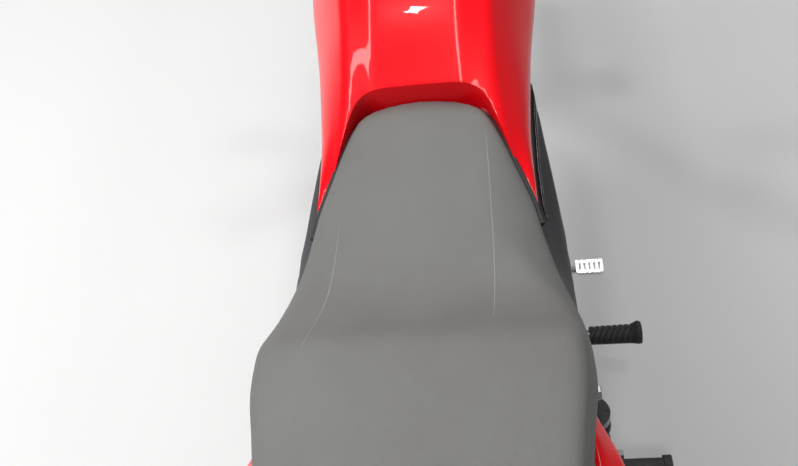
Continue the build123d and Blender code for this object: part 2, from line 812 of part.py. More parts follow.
def tank_top_at(x):
    """Top height of the tank, between its stations."""
    for near, far in zip(tank_stations, tank_stations[1:]):
        if near[0] <= x <= far[0]:
            share = (x - near[0]) / (far[0] - near[0])
            return near[1] + share * (far[1] - near[1])
    return tank_stations[-1][1]


cap_height = tank_top_at(cap_place) + 7


def seat_plan():
    """Plan of the cushion's front, grown by the gap to the tank."""
    right = [(station[0] + 2, -station[1] - seat_gap) for station in seat_stations[:7]]
    left = [(x, -y) for x, y in reversed(right)]
    return Polygon(*right, *left, align=None)


def fuel_tank():
    made = loft([tank_section(*station) for station in tank_stations], ruled=True)
    made -= raised(Plane.XY.offset(600), seat_plan(), 400)
    clearance = backbone_radius + 5
    made -= rod(backbone_front, backbone_back, clearance)
    front, back = backbone_front, backbone_back
    made -= side_plate([(back[0] - 80, back[2]), (front[0], front[2] - 10), (front[0], 600),
                        (back[0] - 80, 600)], -clearance, clearance)
    made += rod((cap_place, 0, cap_height - 26), (cap_place, 0, cap_height - running_gap),
                cap_radius + 9)
    lug_back = cap_place + cap_radius + 3
    for y in ((-20, -12), (12, 20)):
        made += block((lug_back, lug_back + 9), y, (cap_height - 10, cap_height + 4))
    return made


cap_hinge = (cap_place + cap_radius + 7.5, cap_height + 4.5)


def fuel_cap_lid():
    made = rod((cap_place, 0, cap_height), (cap_place, 0, cap_height + 9), cap_radius)
    made = fillet(made.faces().sort_by(Axis.Z)[-1].edges(), 3)
    made += block((cap_place + cap_radius - 6, cap_hinge[0]), (-11, 11),
                  (cap_height + 2, cap_height + 7))
    made += cross_rod(cap_hinge, -11.5, 11.5, 3)
    return made


def tilted_slab(x, y, z, thickness, turn_in, lean_in):
    """A large thin slab through a point, turned in towards the front and leaned in at the top."""
    slab = Box(900, thickness, 900)
    return Pos(x, y, z) * Rot(lean_in, 0, turn_in) * slab


# Cover stations: x, then half width and height at the top edge, belly and lower edge
cover_stations = [
    (560, 104, 716, 127, 692, 122, 648), (470, 106, 716, 137, 692, 132, 578),
    (400, 110, 717, 144, 692, 139, 562), (326, 114, 724, 150, 694, 146, 558),
    (270, 122, 735, 153, 696, 150, 590), (220, 136, 736, 155, 697, 152, 640),
    (165, 148, 739, 157, 700, 155, 672), (112, 148, 741, 160, 708, 158, 686),
]


# Studs of the cover on the frame's brace and tube: ends in x, then start in y
cover_studs = [((268, 281), 96.6), ((477, 490), 64.6)]


def strip_section(x, top_y, top_z, belly_y, belly_z, low_y, low_z):
    """Section of a thin panel, from its top edge over its belly to its lower edge."""
    wall = panel_thickness
    outline = [(top_y, top_z), (belly_y, belly_z), (low_y, low_z), (low_y - wall, low_z + 1),
               (belly_y - wall, belly_z), (top_y - wall, top_z - wall)]
    return section_plane(x) * Polygon(*outline, align=None)


def filled_section(x, top_y, top_z, belly_y, belly_z, low_y, low_z):
    """Everything between a panel and the machine's middle."""
    inset = panel_thickness / 2
    outline = [(0, low_z), (low_y - inset, low_z), (belly_y - inset, belly_z),
               (top_y - inset, top_z - inset), (0, top_z - inset)]
    return section_plane(x) * Polygon(*outline, align=None)


def side_covers():
    """Panels under the seat's nose, between the tank and the cowl, on studs to the frame."""
    panel = loft([strip_section(*station) for station in cover_stations], ruled=True)
    inside = loft([filled_section(*station) for station in cover_stations], ruled=True)
    for x, y in cover_studs:
        panel += block(x, (y, 170), (600, 610)) & inside
    return both_sides(panel)


# Cowl stations: x, then half width and height at the top edge, belly and lower edge
cowl_stations = [
    (104, 138, 744, 146, 735, 144, 726), (60, 150, 754, 165, 736, 158, 700),
    (15, 158, 763, 181, 738, 171, 674), (-80, 150, 773, 170, 742, 158, 668),
    (-200, 112, 792, 134, 757, 120, 690), (-290, 66, 812, 84, 778, 72, 726),
    (-334, 40, 822, 54, 790, 48, 745),
]
tail_end = cowl_stations[-1][0]


def tail_cowl():
    half = loft([strip_section(*station) for station in cowl_stations], ruled=True)
    made = half + mirrored(half)
    back = cowl_stations[-2:]
    deck = [section_plane(x) * Polygon((-top_y, top_z), (top_y, top_z), (top_y - 2, top_z - 5),
                                       (2 - top_y, top_z - 5), align=None)
            for x, top_y, top_z, belly_y, belly_z, low_y, low_z in back]
    made += loft(deck, ruled=True)
    x, top_y, top_z, belly_y, belly_z, low_y, low_z = cowl_stations[-1]
    end = section_plane(x) * Polygon((-top_y, top_z), (top_y, top_z), (belly_y, belly_z),
                                     (low_y, low_z), (-low_y, low_z), (-belly_y, belly_z),
                                     align=None)
    made += extrude(end, 6, dir=(1, 0, 0))
    seat = rail_points[2][2] + rail_radius + 3 * running_gap
    made += block((-196, -176), (-134, 134), (seat, seat + 5))
    return made


# Tail light sections: distance back, height, width, depth
tail_light_sections = [(0, 782, 84, 60), (26, 784, 70, 46)]


def tail_light():
    x = tail_end - running_gap
    return loft([section_plane(x - back) * Pos(0, height) * RectangleRounded(width, depth, 12)
                 for back, height, width, depth in tail_light_sections])


rail_tube_radius = 8.0


def grab_rail():
    """Two side handles joined by a plate on the deck behind the seat."""
    deck_z = cowl_stations[-2][2]
    z = deck_z + 2
    made = None
    for side in (1, -1):
        points = [(-286, 34 * side, z + 15), (-280, 108 * side, z + 16),
                  (-150, 158 * side, z + 8), (-90, 158 * side, z - 26)]
        handle = bent_tube(points, rail_tube_radius, [34, 22])
        made = handle if made is None else made + handle
    plate = block((-326, -262), (-46, 46), (z + 10, z + 15))
    plate -= Pos(-312, 0, z) * GridLocations(0.1, 60, 1, 2) * Cylinder(4.2, 40, align=UP)
    made += plate
    for side in (1, -1):
        made += rod((-292, 26 * side, z + 12), (-292, 26 * side, deck_z + 3.5),
                    rail_tube_radius)
    return made


# Outline of the rear mudguard's tail, and the plate that hangs on it, in x and z
fender_gap = 28.0
fender_tail = [(-300, 716), (-344, 700), (-414, 560), (-408, 558), (-338, 692), (-300, 708)]
plate_outline = [(-344.5, 700), (-348.5, 702), (-426.5, 546), (-422.5, 544)]
plate_half_width = 95.0


def rear_fender():
    """Inner mudguard over the wheel and its tail that carries the plate."""
    inner = rear_tyre_radius + fender_gap
    wall = 3.0
    half = 62.0
    profile = [(-half, inner), (half, inner), (half, inner - 26), (half + wall, inner - 26),
               (half + wall, inner + wall), (-half - wall, inner + wall),
               (-half - wall, inner - 26), (-half, inner - 26)]
    made = arch_over(rear_centre, profile, -20, 88)
    start = rear_axle_height + math.sqrt(inner ** 2 - 108 ** 2) - 2.4
    tail = [(-108, start), *fender_tail, (-108, start - 8)]
    made += side_plate(tail, -58, 58)
    arch_top = rear_axle_height + math.sqrt((inner + wall) ** 2 - 150 ** 2)
    made += block((140, 160), (-50, 50), (arch_top - 5, 709 - running_gap))
    cross_tube = rear_cross_tube[1] - brace_radius
    made += block((-194, -178), (-44, 44), (660, cross_tube - running_gap))
    return made


def licence_plate():
    return side_plate(plate_outline, -plate_half_width, plate_half_width)


indicator_radius = 20.0
indicator_stem_radius = 6.0


def rear_indicators():
    made = []
    for side in (1, -1):
        stem = rod((-316, 58.6 * side, 704), (-316, 118 * side, 706), indicator_stem_radius)
        lamp = scale(Sphere(indicator_radius), by=(1.35, 1.25, 0.95))
        lamp = Pos(-318, 136 * side, 706) * lamp
        made.append(stem + lamp)
    return made


def pillion_hangers():
    """Triangular brackets that carry the pillion's pegs, outside the shocks."""
    made = []
    x, z = pillion_pivot
    for side in (1, -1):
        end = (x + 32, side * 190, z)
        bracket = rod((408, side * (hanger_inner + hanger_thickness - 2), 416), end, 9)
        bracket += rod((rail_lug_x, side * 112, 700), end, 8)
        bracket += rod((rail_lug_x, side * 106, 706), (rail_lug_x, side * 118, 690), 11)
        rail = [Vector(x_, side * y_, z_) for x_, y_, z_ in rail_points[1:]]
        bracket -= rod(tuple(rail[0]), tuple(rail[1]), rail_radius + running_gap)
        plate_face = hanger_inner + hanger_thickness + running_gap
        bracket -= block((340, 480), (-plate_face, plate_face), (290, 450))
        fork = block((x - 9, x + 36), sorted((side * 180, side * 192)), (z - 11, z + 11))
        fork += block((x + 12, x + 20), sorted((side * 180, side * 212)), (z - 11, z + 11))
        fork += block((x - 20, x - 12), sorted((side * 180, side * 212)), (z - 11, z + 11))
        fork += rod((x - 18, side * peg_pin_side, z), (x + 18, side * peg_pin_side, z),
                    peg_pin_radius)
        made.append(bracket + fork)
    return made


def pillion_peg(side):
    x, z = pillion_pivot
    low, high = sorted((side * (pillion_peg_start - 3), side * pillion_peg_end))
    peg = cross_rod(pillion_pivot, low, high, 11)
    peg = peg & block((x - 11, x + 11), (-300, 300), (z - 9, z + 11))
    end = cross_rod(pillion_pivot, *sorted((side * (pillion_peg_end - 8),
                                            side * (pillion_peg_end + 2))), 14)
    peg += end & block((x - 14, x + 14), (-300, 300), (z - 9, z + 14))
    return peg - rod((x - 40, side * peg_pin_side, z), (x + 40, side * peg_pin_side, z),
                     peg_pin_radius + running_gap)


hanger_outline = [(462, 440), (400, 440), (358, 346), (358, 312), (396, 308), (462, 352)]


def footpeg_hangers():
    """Plates outside the swingarm that carry the rider's pegs."""
    made = []
    for side in (1, -1):
        low, high = sorted((side * hanger_inner, side * (hanger_inner + hanger_thickness)))
        plate = side_plate(hanger_outline, low, high, 10)
        low, high = sorted((side * hanger_inner, side * (peg_start + 40)))
        plate += cross_rod(peg_place, low, high, peg_spindle_radius)
        made.append(plate)
    return made


def footpeg_rubbers():
    made = []
    for side in (1, -1):
        rubber = cross_rod(peg_place, *sorted((side * peg_start, side * peg_end)), peg_radius)
        bulb = scale(Sphere(peg_radius + 3), by=(1.05, 0.8, 1.0))
        rubber += Pos(peg_place[0], side * (peg_end - 12), peg_place[1]) * bulb
        for number in range(peg_grooves):
            y = side * (peg_start + 7 + number * peg_groove_pitch)
            groove = Pos(peg_place[0], y, peg_place[1] + peg_radius) * Rot(0, 0, side * -peg_groove_lean) \
                * Box(60, 3, 5)
            rubber -= groove
        rubber -= cross_rod(peg_place, *sorted((side * (peg_start - 10),
                                                side * (peg_start + 40 + running_gap))),
                            peg_spindle_radius + running_gap)
        made.append(rubber)
    return made


# Brake pedal: pivot in x and z, and its slotted pad
pedal_pivot = (398.0, 292.0)
pad_x = (514.0, 537.0)
pad_y = (-229.0, -187.0)
pad_slots = 5
pad_slot_pitch = 7.6
pad_slot_size = (13.0, 3.4)


def brake_pedal():
    x, z = pedal_pivot
    side = -134.0
    made = cross_rod((x, z), -144, -hanger_inner - hanger_thickness - running_gap, 14)
    points = [(x, side - 3, z), (430, side - 4, z - 14), (508, side - 24, z - 20),
              (525, -176, z - 12), (525, -190, z - 10)]
    made += bent_tube(points, pedal_rod_radius, [16, 14, 6])
    made += side_plate([(x - 16, z - 4), (x - 8, z - 10), (x + 4, z - 4), (x - 8, z + 4)],
                       -132, -hanger_inner - hanger_thickness - running_gap)
    pad = block(pad_x, pad_y, (z - 9, z - 3))
    middle = sum(pad_x) / 2
    for number in range(pad_slots):
        y = pad_y[1] - 6 - number * pad_slot_pitch
        pad -= Pos(middle, y, z - 10) * Box(*pad_slot_size, 20, align=UP)
    return made + pad


def gear_lever():
    outer = crankcase_half_width + sprocket_cover_depth
    made = cross_rod(gear_shaft, 60 + running_gap, outer + 22, gear_shaft_radius)
    made += cross_rod(gear_shaft, outer + 8, outer + 22, 12)
    x, z = gear_shaft
    bar = [(x, outer + 15, z), (x + 40, outer + 18, z - 12), (x + 108, 150, z - 12),
           (x + 120, 168, z - 8)]
    made += bent_tube(bar, pedal_rod_radius, [18, 12])
    made += rod((x + 120, 160, z - 8), (x + 120, 208, z - 8), toe_rubber_radius)
    return made


# Steering assembly
def fork_tubes():
    made = []
    for side in (1, -1):
        y = side * fork_spread
        made.append(rod(on_steering(fork_offset, y, slider_top - 30),
                        on_steering(fork_offset, y, upper_clamp_place + upper_clamp_depth + 6),
                        fork_tube_radius))
    return made


def fork_sliders():
    made = []
    for side in (1, -1):
        y = side * fork_spread
        leg = rod(on_steering(fork_offset, y, -16), on_steering(fork_offset, y, slider_top),
                  slider_radius)
        leg += rod(on_steering(fork_offset, y, slider_top - 16),
                   on_steering(fork_offset, y, slider_top + 4), slider_radius + 2.5)
        leg += cross_rod(front_centre, *sorted((side * (fork_spread - 24),
                                                side * (fork_spread + 22))), 19)
        leg -= rod(on_steering(fork_offset, y, slider_top - 30 - running_gap),
                   on_steering(fork_offset, y, slider_top + 10), fork_tube_radius)
        leg -= cross_rod(front_centre, -140, 140, axle_radius)
        made.append(leg)
    return made


def front_axle():
    made = cross_rod(front_centre, -fork_spread - 34, fork_spread + 34, axle_radius)
    for side in (1, -1):
        low, high = sorted((side * (front_hub_width / 2 + running_gap),
                            side * (fork_spread - 24)))
        if side < 0:
            high = disc_side - disc_thickness / 2 - running_gap
        made += cross_rod(front_centre, low, high, 14)
        low, high = sorted((side * (fork_spread + 22), side * (fork_spread + 31)))
        made += raised(side_plane(high, *front_centre), RegularPolygon(13, 6), high - low)
    return made


def steering_clamps():
    """Both fork clamps with the stem between them."""
    made = None
    for place, depth in ((lower_clamp_place, lower_clamp_depth),
                         (upper_clamp_place, upper_clamp_depth)):
        legs = [Pos(fork_offset, side * fork_spread) * Circle(fork_tube_radius + 9)
                for side in (1, -1)]
        middle = Pos(0, 0) * Circle(30)
        outline = make_hull([*legs[0].edges(), *legs[1].edges(), *middle.edges()])
        plate = steering_plane.offset(place) * extrude(outline, depth)
        made = plate if made is None else made + plate
    made += rod(on_steering(0, 0, lower_clamp_place), on_steering(0, 0, upper_clamp_place + 4),
                stem_radius)
    for low, high in ((head_bottom - 3.5, head_bottom + 14), (head_top - 14, head_top + 18.5)):
        made += rod(on_steering(0, 0, low), on_steering(0, 0, high),
                    head_bore_radius - running_gap)
    for side in (1, -1):
        made -= rod(on_steering(fork_offset, side * fork_spread, lower_clamp_place - 20),
                    on_steering(fork_offset, side * fork_spread, upper_clamp_place + 60),
                    fork_tube_radius)
        riser = rod(on_steering(4, side * 45, upper_clamp_place + upper_clamp_depth - 1),
                    (bar_place[0], side * 45, bar_place[1]), 15)
        made += riser
    made -= cross_rod(bar_place, -80, 80, bar_radius)
    return made


bar_along = upper_clamp_place + 52
bar_point = on_steering(4, 0, bar_along)
bar_place = (bar_point[0], bar_point[2])


# Bends of the bar's left half: distance back, side, rise
bar_bends = [(0, 70, 0), (22, 140, 52), (128, 240, 47), (196, grip_end, 44)]
bar_bend_radii = [50, 45, 40]


def handlebar():
    x, z = bar_place
    left = [(x - back, side, z + rise) for back, side, rise in reversed(bar_bends)]
    right = [(x - back, -side, z + rise) for back, side, rise in bar_bends]
    return bent_tube(left + right, bar_radius, [*reversed(bar_bend_radii), *bar_bend_radii])


def grip_line(side):
    x, z = bar_place
    inner, outer = [Vector(x - back, side * reach, z + rise)
                    for back, reach, rise in bar_bends[-2:]]
    return outer, (inner - outer).normalized()


def grips():
    made = []
    for side in (1, -1):
        outer, inward = grip_line(side)
        start = outer - inward * 6
        grip = rod(tuple(start), tuple(outer + inward * (grip_length - grip_short)),
                   grip_radius)
        grip += rod(tuple(start), tuple(start + inward * 5), grip_radius + 3)
        grip += rod(tuple(outer + inward * (grip_length - grip_short - 4)),
                    tuple(outer + inward * (grip_length - grip_short)), grip_radius + 4)
        grip -= rod(tuple(outer), tuple(outer + inward * 200), bar_radius)
        made.append(grip)
    return made


housing_length = 26.0
housing_radius = 23.0
lever_length = 128.0
lever_radius = 5.5


def control_levers():
    """Switch housings on the bar with the clutch and brake levers ahead of the grips."""
    made = []
    for side in (1, -1):
        outer, inward = grip_line(side)
        start = outer + inward * (grip_length - grip_short + running_gap)
        housing = rod(tuple(start), tuple(start + inward * housing_length), housing_radius)
        arm = start + inward * housing_length / 2
        ahead = Vector(46, side * 6, 2)
        housing += rod(tuple(arm), tuple(arm + ahead), 9)
        knuckle = arm + ahead
        out = inward * -1
        tip = knuckle + out * lever_length + Vector(-8, 0, -6)
        housing += rod(tuple(knuckle - out * 10), tuple(tip), lever_radius)
        housing += Pos(*tip) * Sphere(8)
        housing += Pos(*knuckle) * Sphere(11)
        housing -= rod(tuple(outer), tuple(outer + inward * 200), bar_radius)
        made.append(housing)
    return made


# Mirrors: glass centre from the bar's clamp, then the shell's rim and back as depth, radius,
# stretch sideways and stretch upwards
mirror_back = 66.0
mirror_side = 322.0
mirror_rise = 118.0
mirror_sections = [(0, 48, 1.45, 0.9), (-22, 30, 1.3, 0.8)]


def mirrors():
    made = []
    x, z = bar_place
    for side in (1, -1):
        outer, inward = grip_line(side)
        base = outer + inward * (grip_length - 8)
        head = Vector(x - mirror_back, side * mirror_side, z + mirror_rise)
        stem = rod(tuple(base - inward * 8), tuple(base + inward * 8), 17)
        stem += rod(tuple(base), tuple(base + Vector(10, 0, 34)), 8)
        stem += rod(tuple(base + Vector(10, 0, 30)), tuple(head - Vector(-6, side * 18, 20)), 5)
        shell = Plane(origin=head, x_dir=(0, 1, 0), z_dir=(-1, side * 0.1, 0.05))
        rim, bowl_back = [shell.offset(depth) * scale(Circle(radius), by=(wide, high, 1))
                          for depth, radius, wide, high in mirror_sections]
        bowl = loft([bowl_back, rim])
        stem += bowl
        stem -= rod(tuple(outer), tuple(outer + inward * 200), bar_radius)
        made.append(stem)
    return made


fork_collar_radius = fork_tube_radius + 6
lamp_back = on_steering(120, 0, 624)
lamp_depth = 58.0
lens_drop = 34.0
# Cowl sections: distance ahead, rise, width, height, corner radius
lamp_sections = [
    (0, 0, 176, 172, 34), (32, -12, 208, 214, 44), (68, -24, 196, 206, 48),
    (82, -27, 180, 188, 48),
]
# Lens sections: distance ahead, width, height, corner radius
lens_sections = [(running_gap, 154, 146, 38), (24, 150, 142, 38), (38, 120, 112, 34)]
# Lugs from the cowl to the fork legs: place along the steering axis, reach ahead, rise
lamp_lugs = [(640, 12, 4), (570, 16, 14)]


def headlight_cowl():
    x, z = lamp_back[0], lamp_back[2]
    made = loft([section_plane(x + ahead) * Pos(0, z + rise) * RectangleRounded(*size)
                 for ahead, rise, *size in lamp_sections], ruled=True)
    pocket = Pos(0, z - lens_drop) * RectangleRounded(158, 150, 40)
    made -= raised(section_plane(x + lamp_depth), pocket, 60)
    inside = Pos(0, z - 6) * RectangleRounded(150, 150, 26)
    made -= raised(section_plane(x - 6), inside, 50)
    for side in (1, -1):
        for along, reach, rise in lamp_lugs:
            near = on_steering(fork_offset + fork_tube_radius + 4, side * 84, along)
            made += rod(near, (x + reach, side * 84, near[2] + rise), 6)
            collar = rod(on_steering(fork_offset, side * fork_spread, along - 9),
                         on_steering(fork_offset, side * fork_spread, along + 9),
                         fork_collar_radius)
            made += collar
        made -= rod(on_steering(fork_offset, side * fork_spread, 500),
                    on_steering(fork_offset, side * fork_spread, 700),
                    fork_tube_radius + running_gap)
    return made


def headlight_lens():
    x, z = lamp_back[0] + lamp_depth, lamp_back[2] - lens_drop
    return loft([section_plane(x + ahead) * Pos(0, z) * RectangleRounded(*size)
                 for ahead, *size in lens_sections], ruled=True)


# Instrument blocks along the steering axis: start, depth, length, width, corner radius
dial_blocks = [(0, 26, 78, 178, 26), (-34, 36, 58, 140, 22), (25, 8, 70, 170, 24)]


def instruments():
    place = on_steering(114, 0, 752)
    plane = Plane(origin=place, x_dir=axis_forward, z_dir=axis_up)
    made = None
    for start, depth, *size in dial_blocks:
        solid = extrude(plane.offset(start) * RectangleRounded(*size), depth)
        made = solid if made is None else made + solid
    for side in (1, -1):
        arm = plane * block((-80, -24), sorted((side * 34, side * 48)), (-36, -30))
        made += arm
    face = extrude(plane.offset(26) * RectangleRounded(60, 160, 20), 10)
    return made - face


# Mudguard stay beside the wheel, in x and z from its place on the fork
stay_outline = [(-70, 40), (60, 66), (30, -26), (-26, -30)]


def front_fender():
    """Mudguard over the front wheel, open below, bolted inside the fork legs."""
    inner = front_tyre_radius + 20
    wall = 3.5
    half = 52.0
    ridge = inner + 6
    edge = inner - 34
    profile = [(-half, inner - 10), (-30, ridge), (30, ridge), (half, inner - 10),
               (half, edge), (half + wall, edge), (half + wall, inner - 8),
               (31, ridge + wall), (-31, ridge + wall), (-half - wall, inner - 8),
               (-half - wall, edge), (-half, edge)]
    arch = arch_over(front_centre, profile, -66, 124)
    for side in (1, -1):
        low, high = sorted((side * 53, side * (fork_spread - slider_radius + 6)))
        place = on_steering(fork_offset, 0, front_tyre_radius - 24)
        lug = block((place[0] - 26, place[0] + 22), (low, high), (place[2] - 12, place[2] + 14))
        lug -= rod(on_steering(fork_offset, side * fork_spread, 100),
                   on_steering(fork_offset, side * fork_spread, 400),
                   slider_radius + running_gap)
        arch += lug
        stay = on_steering(fork_offset, 0, front_tyre_radius - 68)
        outline = [(stay[0] + x, stay[2] + z) for x, z in stay_outline]
        skirt = side_plate(outline, *sorted((side * half, side * (half + wall))), 10)
        arch += skirt
    return arch


caliper_back = 74.0
caliper_rise = 74.0
caliper_size = (44.0, 44.0, 78.0)


def front_caliper():
    """Sliding caliper astride the disc, on a lug behind the right-hand leg."""
    centre = on_steering(fork_offset - caliper_back, disc_side, caliper_rise)
    made = Pos(*centre) * Rot(0, -rake_angle, 0) * Box(*caliper_size)
    made = fillet(made.edges().filter_by(Axis.Y), 8)
    slot = cross_rod(front_centre, disc_side - disc_thickness / 2 - 1.5,
                     disc_side + disc_thickness / 2 + 1.5, disc_radius + 5)
    made -= slot
    place = on_steering(fork_offset - 42, -fork_spread + 18, caliper_rise)
    made += Pos(*place) * Rot(0, -rake_angle, 0) * Box(50, 10, 60)
    made -= rod(on_steering(fork_offset, -fork_spread, -40), on_steering(fork_offset,
                -fork_spread, 400), slider_radius + running_gap)
    return made


def front_indicators():
    made = []
    x, y, z = on_steering(21, 0, 567)
    for side in (1, -1):
        lamp = scale(Sphere(indicator_radius), by=(1.3, 1.15, 0.95))
        lamp = Pos(x, side * 186, z) * lamp
        place = on_steering(fork_offset + 6, side * (fork_spread + fork_tube_radius + 2), 596)
        stem = rod(place, (x, side * 172, z), indicator_stem_radius)
        collar = rod(on_steering(fork_offset, side * fork_spread, 588),
                     on_steering(fork_offset, side * fork_spread, 606), fork_collar_radius)
        stem += collar
        stem -= rod(on_steering(fork_offset, side * fork_spread, 500),
                    on_steering(fork_offset, side * fork_spread, 700),
                    fork_tube_radius + running_gap)
        made.append(stem + lamp)
    return made


def shrouds():
    """Side panels ahead of the tank, over the frame's front."""
    x = tank_front
    outline = [(x + 14, 800), (x + 46, 742), (x + 2, 660), (x - 118, 632), (x - 222, 672),
               (x - 238, 712), (x - 178, 706), (x - 58, 724), (x - 3, 756)]
    panel = side_plate(outline, 90, 200, 10)
    panel &= tilted_slab(x - 98, 118, 720, panel_thickness, -7, 4)
    start = down_tube_foot[0] + (712 - down_tube_foot[2]) * (
        (down_tube_top[0] - down_tube_foot[0]) / (down_tube_top[2] - down_tube_foot[2]))
    post = rod((start, 6, 712), (x - 8, 108, 706), 5)
    post -= rod(down_tube_top, down_tube_foot, down_tube_radius + running_gap)
    return both_sides(panel + post)


# Side stand, in the upright frame; its foot meets the ground once the machine leans
lean = math.radians(lean_angle)


def unpark(x, y, z):
    """The upright frame's point that comes to a place on the parked machine."""
    return (x, y * math.cos(lean) - z * math.sin(lean), y * math.sin(lean) + z * math.cos(lean))


ground = (crown_drop * rear_tyre_height * math.cos(lean)
          - crown_share * rear_tyre_width / 2 * math.sin(lean))
foot_point = unpark(stand_foot_place[0], stand_foot_place[1], ground)
foot_top = unpark(stand_foot_place[0], stand_foot_place[1], ground + 9)
stand_line = Vector(*foot_point) - Vector(*stand_pivot)
stand_down = stand_line.normalized()
stand_up = Vector(-1, 0.14, 0.1).normalized()
stand_axis = stand_down.cross(stand_up).normalized()


def side_stand():
    pivot_point = Vector(*stand_pivot)
    half = stand_boss_half
    made = rod(tuple(pivot_point - stand_axis * half), tuple(pivot_point + stand_axis * half),
               stand_boss_radius)
    made += rod(stand_pivot, foot_top, stand_leg_radius)
    shoe = Pos(*stand_foot_place, ground) * Box(*shoe_size, align=UP)
    shoe = fillet(shoe.edges().filter_by(Axis.Z), 10)
    made += Rot(lean_angle, 0, 0) * shoe
    made -= rod(tuple(pivot_point - stand_axis * 30), tuple(pivot_point + stand_axis * 30),
                stand_pin_radius + running_gap)
    return made


def stand_bracket():
    """Clevis on the left pivot plate, with the stand's pin."""
    centre = Vector(*stand_pivot)
    inner = stand_boss_half + running_gap
    outer = inner + 6
    middle = (inner + outer) / 2
    away = stand_axis.cross(Vector(1, 0, 0)).normalized()
    away = away if away.Z > 0 else away * -1
    seat = plate_outer + running_gap
    high = centre + stand_axis * middle
    corner = high + away * 24
    made = rod(tuple(high), tuple(corner), bracket_radius)
    made += Pos(*corner) * Sphere(bracket_radius)
    made += rod(tuple(corner), (centre.X, seat - 6, corner.Z + 8), bracket_radius)
    made += rod(tuple(centre - stand_axis * middle), (centre.X, seat - 6, centre.Z + 12),
                bracket_radius)
    made -= rod(tuple(centre - stand_axis * inner), tuple(centre + stand_axis * inner), 27)
    for low, far in ((inner, outer), (-outer, -inner)):
        made += rod(tuple(centre + stand_axis * low), tuple(centre + stand_axis * far),
                    stand_boss_radius)
    made += rod(tuple(centre - stand_axis * outer), tuple(centre + stand_axis * outer),
                stand_pin_radius)
    return made - block((400, 500), (0, seat), (180, 330))


NODES = {
    "frame": frame, "swingarm": swingarm, "rear_axle": rear_axle, "crankcase": crankcase,
    "clutch_cover": clutch_cover, "alternator_cover": alternator_cover,
    "sprocket_cover": sprocket_cover, "cylinder": cylinder, "exhaust_pipe": exhaust_pipe,
    "muffler": muffler, "heat_shield": heat_shield, "intake": intake, "fuel_tank": fuel_tank,
    "shrouds": shrouds, "side_covers": side_covers, "tail_cowl": tail_cowl,
    "tail_light": tail_light, "grab_rail": grab_rail, "rear_fender": rear_fender,
    "licence_plate": licence_plate, "rear_indicators": rear_indicators,
    "seat_cushion": seat_cushion, "seat_base": seat_base, "footpeg_hangers": footpeg_hangers,
    "footpeg_rubbers": footpeg_rubbers, "brake_pedal": brake_pedal, "gear_lever": gear_lever,
    "chain": chain, "chain_guard": chain_guard, "rear_brake_plate": rear_brake_plate,
    "shock_dampers": shock_dampers, "shock_springs": shock_springs,
    "pillion_hangers": pillion_hangers, "stand_bracket": stand_bracket,
    "fork_sliders": fork_sliders, "fork_tubes": fork_tubes, "steering_clamps": steering_clamps,
    "front_axle": front_axle, "handlebar": handlebar, "grips": grips,
    "control_levers": control_levers, "mirrors": mirrors, "headlight_cowl": headlight_cowl,
    "headlight_lens": headlight_lens, "instruments": instruments, "front_fender": front_fender,
    "front_caliper": front_caliper, "front_indicators": front_indicators,
    "front_tyre": lambda: tyre(front_centre, front_tyre_radius, front_tyre_width),
    "front_rim": front_wheel, "front_disc": brake_disc,
    "rear_tyre": lambda: tyre(rear_centre, rear_tyre_radius, rear_tyre_width),
    "rear_rim": rear_wheel, "rear_sprocket": sprocket, "side_stand": side_stand,
    "fuel_cap_lid": fuel_cap_lid, "pillion_peg_left": lambda: pillion_peg(1),
    "pillion_peg_right": lambda: pillion_peg(-1),
}


def leaned(shape):
    """Stand the upright shape over on its side stand."""
    return Rot(-lean_angle, 0, 0) * shape


def main():
    upright = {}
    for name, make in NODES.items():
        made = make()
        upright[name] = Compound(made) if isinstance(made, list) else made
    tilted = {name: leaned(shape) for name, shape in upright.items()}
    boxes = [shape.bounding_box() for shape in tilted.values()]
    shift = (-(min(b.min.X for b in boxes) + max(b.max.X for b in boxes)) / 2,
             -(min(b.min.Y for b in boxes) + max(b.max.Y for b in boxes)) / 2,
             -min(b.min.Z for b in boxes))
    os.makedirs("parts", exist_ok=True)
    for name, shape in tilted.items():
        export_step(Pos(*shift) * shape, f"parts/{name}.step")
    return shift


if __name__ == "__main__":
    main()
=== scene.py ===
"""Looks for a light commuter motorcycle that stands on its side stand."""
import json
import math

import bmesh
import bpy
from mathutils import Matrix, Vector, noise

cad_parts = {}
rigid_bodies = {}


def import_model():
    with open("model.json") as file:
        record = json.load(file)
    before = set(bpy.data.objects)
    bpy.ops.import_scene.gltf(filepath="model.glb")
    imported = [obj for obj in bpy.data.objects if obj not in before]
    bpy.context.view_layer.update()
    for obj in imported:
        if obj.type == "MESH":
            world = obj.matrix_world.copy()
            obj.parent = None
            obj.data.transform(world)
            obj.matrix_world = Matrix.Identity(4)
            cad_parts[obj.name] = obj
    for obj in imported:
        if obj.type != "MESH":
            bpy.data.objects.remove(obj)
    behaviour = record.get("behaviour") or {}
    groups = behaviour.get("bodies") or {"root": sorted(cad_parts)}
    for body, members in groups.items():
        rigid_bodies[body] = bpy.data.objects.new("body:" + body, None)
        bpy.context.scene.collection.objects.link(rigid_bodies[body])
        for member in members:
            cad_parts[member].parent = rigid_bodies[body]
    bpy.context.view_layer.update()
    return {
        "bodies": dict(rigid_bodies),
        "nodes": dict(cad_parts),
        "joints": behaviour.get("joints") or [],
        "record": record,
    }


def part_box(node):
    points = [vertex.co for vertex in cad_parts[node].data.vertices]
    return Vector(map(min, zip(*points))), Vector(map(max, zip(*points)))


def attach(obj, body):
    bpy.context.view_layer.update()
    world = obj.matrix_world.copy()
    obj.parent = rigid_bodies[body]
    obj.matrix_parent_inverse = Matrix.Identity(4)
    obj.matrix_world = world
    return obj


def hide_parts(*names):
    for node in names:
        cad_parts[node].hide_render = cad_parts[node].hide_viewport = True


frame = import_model()
nodes = frame["nodes"]

